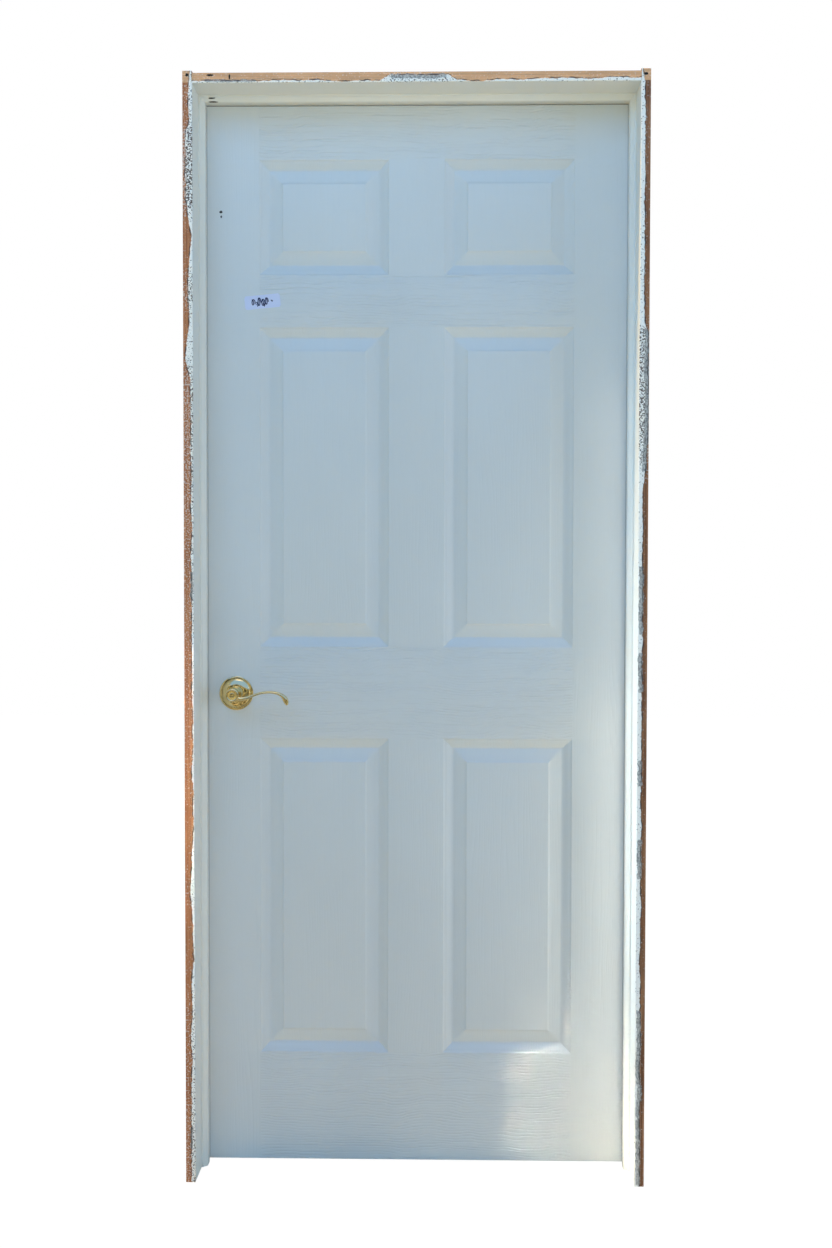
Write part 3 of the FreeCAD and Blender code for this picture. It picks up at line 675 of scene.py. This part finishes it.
def skin_depth(x, z):
    """Depth of the skin's face below its flat."""
    for left in PANEL_COLUMNS:
        for foot, height in PANEL_ROWS:
            inset = min(x - left, left + PANEL_W - x, z - foot, foot + height - z)
            if inset > 0:
                return float(np.interp(inset, *zip(*SECTION)))
    edge = min(x, LEAF_W - x, z, LEAF_H - z)
    return 0.35 * max(0.0, 1.0 - edge) ** 2


def gap_shade_line(x, z):
    """How dark the painted shade line is along the gap where the closed leaf meets the stops."""
    side = min(x, LEAF_W - x) - STOP_COVER
    top = LEAF_H - z - STOP_COVER
    if side > 0 and 0 < top < GAP_SHADE_TOP_W:
        return 0.75
    if top > 0 and 0 < side < GAP_SHADE_SIDE_W:
        return 0.4
    return 0.0


def grain_runs_across(x, z):
    """Rails have their grain across; stiles, mullions and panels have it upright."""
    if x < PANEL_MARGIN or x > LEAF_W - PANEL_MARGIN:
        return 0.0
    for foot, height in PANEL_ROWS:
        if foot < z < foot + height:
            return 0.0
    return 1.0


def skin_mesh(name, face_y, into, material):
    """One moulded skin; into is 1 where the leaf lies towards +Y of its face."""
    xs = leaf_lines([(c, c + PANEL_W) for c in PANEL_COLUMNS], LEAF_W)
    zs = leaf_lines([(f, f + h) for f, h in PANEL_ROWS], LEAF_H)
    depth = [[skin_depth(x, z) for x in xs] for z in zs]
    bevel_fade = 3.0
    layers = []
    for below in (0.0, SKIN_T):
        rows = []
        for z, depths in zip(zs, depth):
            row = []
            for x, down in zip(xs, depths):
                y = face_y + into * (down + below)
                shift = (BACK_Y - y) * LOCK_BEVEL * max(0.0, 1.0 - x / bevel_fade)
                row.append((LEAF_LOCK_X + x + shift, y, FOOT_GAP + z))
            rows.append(row)
        layers.append(rows)

    def diagonal(k, i):
        a, b, c, d = depth[k][i], depth[k][i + 1], depth[k + 1][i + 1], depth[k + 1][i]
        if abs(a + c - b - d) < 1e-6:
            return 0
        return 1 if abs(b - d) < 1e-6 else 2

    def at_middle(field):
        return lambda k, i: field((xs[i] + xs[i + 1]) / 2, (zs[k] + zs[k + 1]) / 2)

    verts, faces, grain = shell(*layers, diagonal, at_middle(grain_runs_across))
    # Only the front skin carries the painted shade line along the stops
    painted_gap_shade = shell(*layers, diagonal, at_middle(gap_shade_line) if into > 0 else None)[2]
    return new_object(name, verts, faces, material, 24,
                      [("grain_across", "FACE", grain), ("painted_gap_shade", "FACE", painted_gap_shade)])


class DOOR_OT_moulded_skins(bpy.types.Operator):
    """Build the two moulded skins with their six raised panels"""

    bl_idname = "door.moulded_skins"
    bl_label = "Moulded Skins"

    def execute(self, context):
        material = skin_material()
        for name, face_y, into, node in (("front_moulded_skin", LEAF_FRONT_Y, 1, "front_skin"),
                                         ("back_moulded_skin", BACK_Y, -1, "back_skin")):
            finish_piece(skin_mesh(name, face_y, into, material), "door_leaf", [node])
        return {"FINISHED"}


class DOOR_OT_leaf_frame(bpy.types.Operator):
    """Finish the stiles, rails and lock block inside the leaf"""

    bl_idname = "door.leaf_frame"
    bl_label = "Leaf Frame"

    def execute(self, context):
        edge = painted_wood("painted_leaf_edge", context.scene.door_paint.leaf_colour, 0.5)
        for name in ("lock_stile", "hinge_stile"):
            paint_node(name, edge)
        rail = plain_wood("raw_rail_wood", (0.62, 0.46, 0.3), 1.0)
        for name in ("top_rail", "bottom_rail"):
            paint_node(name, rail)
        paint_node("lock_block", plain_wood("raw_block_wood", (0.6, 0.45, 0.3)))
        return {"FINISHED"}


def on_label(a, b, out):
    """A place on the tilted label, from its centre."""
    x = LEAF_LOCK_X + LABEL_X + a * math.cos(LABEL_TILT) - b * math.sin(LABEL_TILT)
    z = FOOT_GAP + LABEL_Z + a * math.sin(LABEL_TILT) + b * math.cos(LABEL_TILT)
    return (x, LEAF_FRONT_Y - out, z)


def label_paper():
    """The label with round corners, its left and right ends lifted a little."""
    half_w, half_h, corner = 34.0, 13.0, 2.5
    outer, inner = [], []
    for k in range(9):
        b = half_h * (k / 4 - 1)
        over = max(0.0, abs(b) - half_h + corner)
        trim = corner - math.sqrt(max(0.0, corner ** 2 - over ** 2))
        row = [(half_w - trim) * (i / 12 - 1) for i in range(25)]
        lift = [0.12 + 0.5 * max(0.0, abs(a) / half_w - 0.85) for a in row]
        outer.append([on_label(a, b, 0.08 + h) for a, h in zip(row, lift)])
        inner.append([on_label(a, b, h * 0.5 - 0.05) for a, h in zip(row, lift)])
    return shell(outer, inner)[:2]


def pen_strokes():
    """Meaningless loops of a pen, as thin ribbons."""
    steps, swing = 48, 2.2
    half_w, low, high = 0.9, 0.15, 0.34
    verts, faces = [], []
    for start, run, tall, turns, line in PEN_LOOPS:
        points = []
        for n in range(steps + 1):
            t = n / steps
            turn = 2 * math.pi * turns * t
            points.append((start + run * t + swing * math.sin(turn), line + tall * math.cos(turn)))
        first = len(verts)
        for k, (a, b) in enumerate(points):
            before, after = points[max(k - 1, 0)], points[min(k + 1, steps)]
            da, db = after[0] - before[0], after[1] - before[1]
            long = math.hypot(da, db) or 1.0
            for side, out in ((half_w, low), (half_w, high), (-half_w, high), (-half_w, low)):
                verts.append(on_label(a - db / long * side, b + da / long * side, out))
            if k:
                faces += ring_faces(len(verts) - 8, len(verts) - 4, 4)
        faces += [tuple(first + e for e in (3, 2, 1, 0)), tuple(len(verts) - 4 + e for e in range(4))]
    return verts, faces


class DOOR_OT_marks(bpy.types.Operator):
    """Add the paper label, its pen marks, and the chips in the paint"""

    bl_idname = "door.marks"
    bl_label = "Label and Chips"

    def execute(self, context):
        paper = plain_finish("lilac_label_paper", (0.66, 0.69, 0.87), 0.6)
        ink = plain_finish("pen_ink", (0.02, 0.02, 0.08), 0.4)
        chip = plain_finish("chipped_dark_fibre", (0.045, 0.035, 0.03), 0.8)
        finish_piece(new_object("paper_label", *label_paper(), paper, 40), "door_leaf")
        finish_piece(new_object("label_pen_strokes", *pen_strokes(), ink, 40), "door_leaf")
        for n, (a, b, wide, tall) in enumerate(LEAF_CHIPS):
            blob("leaf_chip_%d" % (n + 1), (LEAF_LOCK_X + a, LEAF_FRONT_Y, FOOT_GAP + b), (0, 0, 1),
                 (wide, tall), 0.15, chip, "door_leaf", n)
        drop = STOP_T - STOP_NOSE
        for n, (a, back, wide, tall) in enumerate(STOP_CHIPS):
            place = (STRIKE_FACE_X + STOP_T + a, STOP_FRONT_Y + STOP_OGEE * back,
                     HEAD_FOOT_Z - STOP_NOSE - drop * back - 0.1)
            blob("stop_chip_%d" % (n + 1), place, (0, -STOP_OGEE, drop), (wide, tall), 0.9, chip,
                 "frame", n + 5)
        return {"FINISHED"}


# Frame

def edge_fields(s, u, wear, caulk, seed):
    """Paint, caulk, crack and specks at a place along and across an edge (u is 1 at the opening)."""
    places = [row[0] for row in wear]
    painted = float(np.interp(s, places, [row[1] for row in wear]))
    specks = float(np.interp(s, places, [row[2] for row in wear]))
    drift = 0.16 * noise.noise(Vector((s * 0.02, seed, 0))) + 0.08 * noise.noise(Vector((s * 0.11, seed, 4)))
    border = 1.05 - painted + drift
    ragged = noise.noise(Vector((s * 0.3, u * 5.0, seed + 9)))
    paint = 0.5 + (u - border) * 5.0 + 0.35 * ragged
    beside = max(0.0, 1.0 - abs(u - border + 0.06) / 0.13)
    crack = beside * (0.85 + 0.9 * noise.noise(Vector((s * 0.055, seed, 17)))) + 0.25 * ragged - 0.1
    patch = max(min(s - low, high - s) / 6.0 for low, high in caulk)
    centre, reach = (border - 0.02, 0.14) if painted < 0.45 else (border + 0.1, 0.26)
    band = 1.0 - abs(u - centre) / reach
    blotch = noise.noise(Vector((s * 0.12, u * 3.0, seed + 30)))
    lump = min(1.0, max(0.0, patch)) * max(0.0, min(1.0, 0.7 + 1.2 * blotch + band)) * (band > 0)
    return min(1.0, max(0.0, paint)), lump, min(1.0, max(0.0, crack)), specks


def edge_path(turned_in):
    """Points across an edge: distance from its outer side, depth past the inner arris, and the way out."""
    path = [(0.2 + n * 1.2, 0.0, 0.0, -1.0) for n in range(14)] + [(JAMB_T - 0.6, 0.0, 0.0, -1.0)]
    if turned_in:
        for n in range(1, 4):
            a = math.pi / 2 * n / 4
            path.append((JAMB_T, 0.0, math.sin(a), -math.cos(a)))
        path += [(JAMB_T, d, 1.0, 0.0) for d in (0.6, 1.8, 3.0, 4.2)]
    return path


def edge_strip(name, span, tables, seed, place, material, step, turned_in):
    """The bare, painted and caulked edge of a jamb, with its paint turned round the inner arris."""
    high = bpy.context.scene.door_wear.caulk_height / MM
    film, fade, sunk = 0.05, 4.0, 0.3
    low, top = span
    rows = max(4, int((top - low) / step))
    outer, inner = [], []
    fields = {"paint": [], "caulk": [], "crack": [], "specks": []}
    for k in range(rows + 1):
        s = low + (top - low) * k / rows
        upper, lower = [], []
        for a, depth, na, nd in edge_path(turned_in):
            u = (a + depth) / JAMB_T
            paint, lump, crack, specks = edge_fields(s, u, *tables, seed)
            rough = 0.5 + 0.5 * noise.noise(Vector((s * 0.45, u * 7.0, seed + 50)))
            height = 0.06 + high * (0.4 * paint + 0.55 * lump * rough) * (1.0 - 0.8 * crack)
            if depth > 0:
                height = film + (height - film) * max(0.0, 1.0 - depth / fade)
            upper.append(place(s, a + na * height, depth + nd * height))
            lower.append(place(s, min(a, JAMB_T - sunk), depth + sunk))
            for label, value in zip(fields, (paint, lump, crack, specks)):
                fields[label].append(value)
        outer.append(upper)
        inner.append(lower)
    verts, faces = shell(outer, inner)[:2]
    attributes = [(label, "POINT", values * 2) for label, values in fields.items()]
    finish_piece(new_object(name, verts, faces, material, 50, attributes), "frame")


class DOOR_OT_frame(bpy.types.Operator):
    """Finish the jambs, and lay the torn paint and caulk along their edges"""

    bl_idname = "door.frame"
    bl_label = "Jambs"

    def execute(self, context):
        wear = context.scene.door_wear
        upright = jamb_material("painted_side_jamb", 0.0)
        paint_node("hinge_jamb", upright)
        paint_node("strike_jamb", upright)
        paint_node("head_jamb", jamb_material("painted_head_jamb", 1.0))
        pine = Vector(wear.pine_colour)
        head_wood = edge_material("head_edge_wood", (1.0, 0.53, 0.27), 1.0)
        # The hinge side's edge wood is the same pine darkened to 0.38: painted shade
        sides = {"strike": (edge_material("strike_side_edge_wood", pine, 0.0), STRIKE_WEAR, STRIKE_CAULK),
                 "hinge": (edge_material("hinge_side_edge_painted_shade_wood", pine * 0.38, 0.0), HINGE_WEAR, HINGE_CAULK),
                 "head": (head_wood, HEAD_WEAR, HEAD_CAULK)}
        for face, y, into, step, seed in (("front", FRONT_Y, 1, 2.5, wear.seed),
                                          ("back", BACK_Y, -1, 5.0, wear.seed + 40)):
            places = {"strike": lambda s, a, d: (-UNIT_W + a, y + into * d, s),
                      "hinge": lambda s, a, d: (-a, y + into * d, s),
                      "head": lambda s, a, d: (STRIKE_FACE_X + s, y + into * d, HEAD_TOP_Z - a)}
            for n, (side, (wood, *tables)) in enumerate(sides.items()):
                end = OPEN_W if side == "head" else HEAD_FOOT_Z
                edge_strip("%s_%s_edge" % (face, side), (0.0, end), tables, seed + n, places[side],
                           wood, step, into > 0)
                if side != "head":
                    edge_strip("%s_%s_horn_edge" % (face, side), (end, JAMB_H), tables, seed + n,
                               places[side], head_wood, step, False)
        hole = plain_finish("nail_hole_shadow", (0.02, 0.015, 0.01), 0.9)
        for n, (x, z, wide, tall) in enumerate(NAIL_HOLES):
            blob("nail_hole_%d" % (n + 1), (x, FRONT_Y - 0.1, z), (0, 0, 1), (wide, tall), 0.15, hole,
                 "frame", n + 20)
        return {"FINISHED"}


def stop_section():
    """Section of a stop: thickness out from the jamb, distance back from its nose."""
    points = [(0.0, 0.0), (STOP_NOSE - 0.5, 0.0), (STOP_NOSE, 0.15)]
    for n in range(1, 15):
        t = n / 14
        rise = t * t * (3 - 2 * t) * 0.75 + t * 0.25
        points.append((STOP_NOSE + (STOP_T - STOP_NOSE) * rise, 0.3 + (STOP_OGEE - 0.3) * t))
    points += [(STOP_T, STOP_OGEE + 2.0), (STOP_T, STOP_W - 0.8), (STOP_T - 0.3, STOP_W - 0.2),
               (STOP_T - 0.8, STOP_W), (0.0, STOP_W)]
    return points


class DOOR_OT_stops(bpy.types.Operator):
    """Build the moulded door stops, mitred at the head"""

    bl_idname = "door.stops"
    bl_label = "Stops"

    def execute(self, context):
        painted = painted_wood("painted_stop", context.scene.door_paint.frame_colour, 0.4)
        section = stop_section()
        count = len(section)
        mitre = {
            "strike_stop": lambda t, end: (STRIKE_FACE_X + t, HEAD_FOOT_Z - t if end else 0.0),
            "hinge_stop": lambda t, end: (HINGE_FACE_X - t, HEAD_FOOT_Z - t if end else 0.0),
            "head_stop": lambda t, end: (HINGE_FACE_X - t if end else STRIKE_FACE_X + t, HEAD_FOOT_Z - t),
        }
        for node, place in mitre.items():
            verts = []
            for end in (0, 1):
                for t, back in section:
                    x, z = place(t, end)
                    verts.append((x, STOP_FRONT_Y + back, z))
            faces = [tuple(range(count)), tuple(reversed(range(count, 2 * count)))]
            faces += ring_faces(count, 0, count)
            stop = new_object("moulded_" + node, verts, faces, painted, 30)
            finish_piece(stop, "frame", [node])
        return {"FINISHED"}


class DOOR_OT_hinges(bpy.types.Operator):
    """Finish the butt hinges and their screws"""

    bl_idname = "door.hinges"
    bl_label = "Hinges"

    def execute(self, context):
        metal = brass("plated_hinge_brass", context.scene.door_hardware.brass_colour, 0.24)
        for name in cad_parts:
            if name.split("_")[0] in ("top", "middle", "bottom") and "hinge" in name:
                paint_node(name, metal)
        return {"FINISHED"}


# Lever set

def arm_mesh(base_y, side):
    """The wave of the arm, lofted through its stations and closed at both ends."""
    rows = smooth_curve(ARM, 6)
    size = 28
    centres = [Vector((LOCK_X + r[0], base_y - side * r[2], LOCK_Z + r[1])) for r in rows]
    verts = []
    for k, row in enumerate(rows):
        along = (centres[min(k + 1, len(rows) - 1)] - centres[max(k - 1, 0)]).normalized()
        deep = Vector((0, 1, 0))
        deep = (deep - along * deep.dot(along)).normalized()
        high = along.cross(deep)
        for n in range(size):
            a = 2 * math.pi * n / size
            verts.append(centres[k] + deep * (row[4] / 2 * math.cos(a)) + high * (row[3] / 2 * math.sin(a)))
    end = (centres[-1] - centres[-3]).normalized()
    rim = verts[-size:]
    for shrink, push in ((0.85, 1.1), (0.5, 2.0)):
        verts += [centres[-1] + (v - centres[-1]) * shrink + end * push for v in rim]
    faces = [tuple(reversed(range(size)))]
    for a in range(0, len(verts) - size, size):
        faces += ring_faces(a, a + size, size)
    tip = len(verts)
    verts.append(centres[-1] + end * 2.3)
    faces += [(tip - size + n, tip - size + (n + 1) % size, tip) for n in range(size)]
    return verts, faces


def hub_outline():
    """Section of the lever's hub: waist, rolled rim and dished end, as (radius, distance out)."""
    neck = HUB_FOOT + (LEVER_REACH - HUB_FOOT) * 0.42
    roll_start, middle = LEVER_REACH - 3.0, (HUB_END_R + DISH_R) / 2
    shank_r = ROSE_BORE_R - 0.05
    waist = smooth_curve([(HUB_BASE_R, HUB_FOOT + 2.5), (HUB_NECK_R + 1.3, HUB_FOOT + 10.0),
                          (HUB_NECK_R, neck), (HUB_NECK_R + 1.0, (neck + roll_start) / 2),
                          (HUB_END_R, roll_start)], 8)
    outline = [(0.0, 1.0), (shank_r, 1.0), (shank_r, HUB_FOOT), (HUB_BASE_R - 0.4, HUB_FOOT),
               (HUB_BASE_R, HUB_FOOT + 0.4)] + waist
    outline += quarter(middle, LEVER_REACH, HUB_END_R, roll_start)[::-1][1:]
    outline += quarter(middle, LEVER_REACH, DISH_R, DISH_FLOOR)[1:]
    outline += quarter(0.0, DISH_FLOOR + 0.5, 5.0, DISH_FLOOR)[::-1]
    return outline


def rose_outline():
    """Section of a rose: bore, dome, flange, and the inside of its wall, as (radius, distance out)."""
    bore_in = ROSE_BORE_R + ROSE_WALL
    dome = smooth_curve([(HUB_BASE_R - 1.5, ROSE_H), (18.0, 9.4), (22.0, 8.2), (25.2, 6.5), (27.2, 4.6)], 6)
    outline = [(ROSE_BORE_R, 0.0), (ROSE_BORE_R, ROSE_H - 0.4), (ROSE_BORE_R + 0.4, ROSE_H)] + dome
    outline += [(27.6, 3.6), (28.0, 3.3), (31.2, 3.2), (31.9, 2.95), (32.35, 2.6), (ROSE_R, 2.0),
                (ROSE_R, 0.0), (ROSE_R - ROSE_WALL, 0.0)]
    outline += [(r - ROSE_WALL, out - ROSE_WALL) for r, out in reversed(dome)]
    outline += [(bore_in, ROSE_H - ROSE_WALL), (bore_in, 0.0)]
    return outline


class DOOR_OT_lever_set(bpy.types.Operator):
    """Build the levers and their roses"""

    bl_idname = "door.lever_set"
    bl_label = "Lever Set"

    def execute(self, context):
        hardware = context.scene.door_hardware
        polished = brass("polished_lever_brass", hardware.brass_colour, hardware.brass_roughness)
        paint_node("spindle", brass("zinc_spindle_steel", (0.62, 0.62, 0.6), 0.35))
        for face, base_y, side in (("front", LEAF_FRONT_Y, 1), ("back", BACK_Y, -1)):
            outline = rose_outline()
            verts, faces = turned(outline + outline[:1], base_y, side)
            count = len(verts) - TURN_SEGMENTS
            faces = [tuple(v % count for v in face_ring) for face_ring in faces]
            rose = new_object("turned_%s_rose" % face, verts[:count], faces, polished, 18)
            finish_piece(rose, "door_leaf", ["%s_rose" % face])
            lever = new_object("wave_%s_lever" % face, *turned(hub_outline(), base_y, side), polished)
            arm = new_object("arm_tool", *arm_mesh(base_y, side), polished)
            union = lever.modifiers.new("arm", "BOOLEAN")
            union.operation = "UNION"
            union.solver = "EXACT"
            union.object = arm
            joined = bpy.data.meshes.new_from_object(lever.evaluated_get(context.evaluated_depsgraph_get()))
            lever.modifiers.clear()
            lever.data = joined
            bpy.data.objects.remove(arm)
            shade_smooth(joined, 38)
            finish_piece(lever, "lever_set", ["%s_lever" % face])
        return {"FINISHED"}


class DOOR_OT_latch(bpy.types.Operator):
    """Finish the latch and the strike plate"""

    bl_idname = "door.latch"
    bl_label = "Latch and Strike"

    def execute(self, context):
        metal = brass("plated_latch_brass", context.scene.door_hardware.brass_colour, 0.2)
        for name in ("latch_face_plate", "latch_screws", "strike_plate", "strike_screws"):
            paint_node(name, metal)
        steel = brass("brushed_latch_steel", (0.62, 0.62, 0.6), 0.3)
        for name in ("latch_bolt", "latch_case"):
            paint_node(name, steel)
        return {"FINISHED"}


# Stage

def area_light(name, place, target, size, power, colour, spread=180.0):
    """A soft box; only the sun is mirrored, so the rest leave no patches on the brass."""
    light = bpy.data.lights.new(name, "AREA")
    light.shape = "RECTANGLE"
    light.size, light.size_y = size
    light.energy = power
    light.color = colour
    light.spread = math.radians(spread)
    lamp = bpy.data.objects.new(name, light)
    bpy.context.scene.collection.objects.link(lamp)
    place, target = Vector(place), Vector(target)
    aim = (target - place).to_track_quat("-Z", "Y")
    lamp.matrix_world = Matrix.Translation(place) @ aim.to_matrix().to_4x4()
    lamp.visible_camera = False
    lamp.visible_glossy = name == "sun"


def lit_world(strength):
    """Cool light from low down; mirrors see sky over a dark ragged band; the camera sees white."""
    world = bpy.data.worlds.new("studio_world")
    world.use_nodes = True
    nodes = world.node_tree.nodes
    net = Net(world.node_tree)
    way = net.add("TexCoord").outputs["Generated"]
    rise = net.split(way)["Z"]
    light = net.mix(net.remap(rise, 0.13, 0.17), (0.85, 1.2, 1.33), (0.10, 0.12, 0.14))
    ragged = net.noise(way, (8.0, 8.0, 5.0), 4.0, 0.6)
    band = net.mix(net.remap(ragged, 0.46, 0.58), (0.03, 0.035, 0.015), (0.80, 0.75, 0.50))
    sky = net.mix(net.remap(rise, 0.88, 0.98), (0.36, 0.68, 1.5), (2.4, 2.3, 2.4))
    above = net.remap(net.minus(rise, net.times(ragged, 0.5)), 0.0, 0.03)
    path = net.add("LightPath").outputs
    lit, seen = nodes["Background"], net.add("Background")
    net.feed(net.mix(path["Is Glossy Ray"], light, net.mix(above, band, sky)), lit.inputs["Color"])
    net.feed(strength, lit.inputs["Strength"])
    net.feed((1, 1, 1), seen.inputs["Color"])
    net.feed(net.mix_shaders(path["Is Camera Ray"], lit, seen), nodes["World Output"].inputs["Surface"])
    return world


def floor_material():
    """Pale floor that is white to the camera; where the brass mirrors it, it shows a painted reflection,
    mottled dark and cream.
    """
    material, net, shader = new_material("pale_floor")
    nodes = material.node_tree.nodes
    net.feed(0.9, shader["Roughness"])
    path = net.add("LightPath").outputs
    # Painted reflection: the brass sees the floor as dark and cream patches instead of its own colour
    reflection_mottle = net.noise(net.add("NewGeometry").outputs["Position"], (3.0, 3.0, 3.0), 4.0, 0.6)
    painted_reflection = net.mix(net.remap(reflection_mottle, 0.45, 0.55), (0.12, 0.10, 0.05), (0.95, 0.88, 0.62))
    net.feed(net.mix(path["Is Glossy Ray"], (0.86, 0.84, 0.70), painted_reflection), shader["Base Color"])
    glow = net.add("Emission")
    net.feed((1, 1, 1), glow.inputs["Color"])
    net.feed(1.07, glow.inputs["Strength"])
    to_camera = net.times(path["Is Camera Ray"], 0.93)
    net.feed(net.mix_shaders(to_camera, nodes["Principled BSDF"], glow),
             nodes["Material Output"].inputs["Surface"])
    return material


def photo_camera(lens):
    """The camera at the photograph's viewing angle; lens is in millimetres."""
    data = bpy.data.cameras.new("photo_camera")
    data.sensor_width = 36.0
    data.lens = lens
    camera = bpy.data.objects.new("photo_camera", data)
    bpy.context.scene.collection.objects.link(camera)
    yaw, pitch, roll = (math.radians(a) for a in CAMERA_TURN)
    turn = Matrix.Rotation(yaw, 3, "Z") @ Matrix.Rotation(pitch, 3, "X") @ Matrix.Rotation(roll, 3, "Y")
    right, forward, up = turn.col
    place = Vector((CENTRE_X + CAMERA_RIGHT, FRONT_Y - CAMERA_FRONT, CAMERA_HIGH)) * MM
    rows = Matrix((right, up, -forward)).transposed().to_4x4()
    camera.matrix_world = Matrix.Translation(place) @ rows
    return camera


class DOOR_OT_stage(bpy.types.Operator):
    """Set the floor, the studio light and the camera"""

    bl_idname = "door.stage"
    bl_label = "Stage"

    def execute(self, context):
        scene, stage = context.scene, context.scene.door_stage
        corners = [(x * FLOOR_HALF, y * FLOOR_HALF, 0) for x, y in ((-1, -1), (1, -1), (1, 1), (-1, 1))]
        floor = new_object("studio_floor", corners, [(0, 1, 2, 3)], floor_material())
        scene.world = lit_world(stage.sky_strength)
        mid = CENTRE_X * MM
        hinge_x = HINGE_FACE_X * MM
        glow_x, glow_y = hinge_x - 0.002, -0.033
        # Place, target, size, power, colour and, for a narrow beam, its spread in degrees
        lights = {
            "high_front": ((mid - 1.2, -4.0, 4.2), (mid, 0, 1.1), (3.5, 2.5), stage.key_power,
                           (0.19, 0.51, 1.0)),
            "ground_far": ((mid, -2.8, 0.01), (mid, -2.8001, 3.0), (5.0, 2.4), 20.0, (1.0, 0.80, 0.20)),
            "right_fill": ((mid + 3.0, -1.6, 1.3), (mid - 0.4, 0, 1.0), (1.2, 1.8), stage.fill_power,
                           (0.54, 0.68, 1.0)),
            "sun": ((-3.02, -0.287, 5.05), (hinge_x, -0.03, 1.0), (0.14, 0.14), stage.sun_power,
                    (1.0, 0.64, 0.18)),
            "low_sun": ((mid - 3.0, -0.494, 3.6), (-0.16, 0.03, 0.0), (0.06, 0.15), stage.low_sun_power,
                        (1.0, 0.9, 0.68), 7.0),
            "hinge_jamb_glow": ((glow_x, glow_y, 0.45), (-1.0, glow_y, 0.45), (0.066, 0.9),
                                stage.glow_power, (0.85, 0.75, 0.55)),
            "upper_jamb_glow": ((glow_x, glow_y, 0.75), (-1.0, glow_y, 0.75), (0.066, 1.5),
                                stage.glow_power, (1.0, 0.92, 0.8)),
            "back_fill": ((mid + 1.0, 4.0, 3.2), (mid, 0, 1.0), (3.5, 2.5), 70.0, (0.80, 0.90, 1.0)),
            "along_jamb": ((mid - 3.0, -0.31, 0.72), (mid + 0.4, -0.03, 0.70), (0.12, 0.4), 4.0,
                           (0.46, 0.74, 1.0), 34.0),
        }
        for name, values in lights.items():
            area_light(name, *values)
        scene.camera = photo_camera(stage.lens)
        scene.view_settings.view_transform = "Standard"
        return {"FINISHED"}


class DOOR_PT_sidebar(bpy.types.Panel):
    """Lists the door's operators and settings"""

    bl_idname = "DOOR_PT_sidebar"
    bl_label = "Interior Door"
    bl_space_type = "VIEW_3D"
    bl_region_type = "UI"
    bl_category = "Door"

    def draw(self, context):
        layout = self.layout
        for key, group in GROUPS:
            box = layout.box()
            for setting in group.__annotations__:
                box.prop(getattr(context.scene, key), setting)
        for step in STEPS:
            layout.operator(step.bl_idname)


STEPS = (DOOR_OT_moulded_skins, DOOR_OT_leaf_frame, DOOR_OT_marks, DOOR_OT_frame, DOOR_OT_stops,
         DOOR_OT_hinges, DOOR_OT_lever_set, DOOR_OT_latch, DOOR_OT_stage)
GROUPS = (("door_paint", DoorPaint), ("door_wear", DoorWear), ("door_hardware", DoorHardware),
          ("door_stage", DoorStage))


def register():
    for key, group in GROUPS:
        bpy.utils.register_class(group)
        setattr(bpy.types.Scene, key, PointerProperty(type=group))
    for cls in STEPS + (DOOR_PT_sidebar,):
        bpy.utils.register_class(cls)


def unregister():
    for cls in reversed(STEPS + (DOOR_PT_sidebar,)):
        bpy.utils.unregister_class(cls)
    for key, group in reversed(GROUPS):
        delattr(bpy.types.Scene, key)
        bpy.utils.unregister_class(group)


def main():
    register()
    for step in STEPS:
        family, call = step.bl_idname.split(".")
        getattr(getattr(bpy.ops, family), call)()


if __name__ == "__main__":
    main()
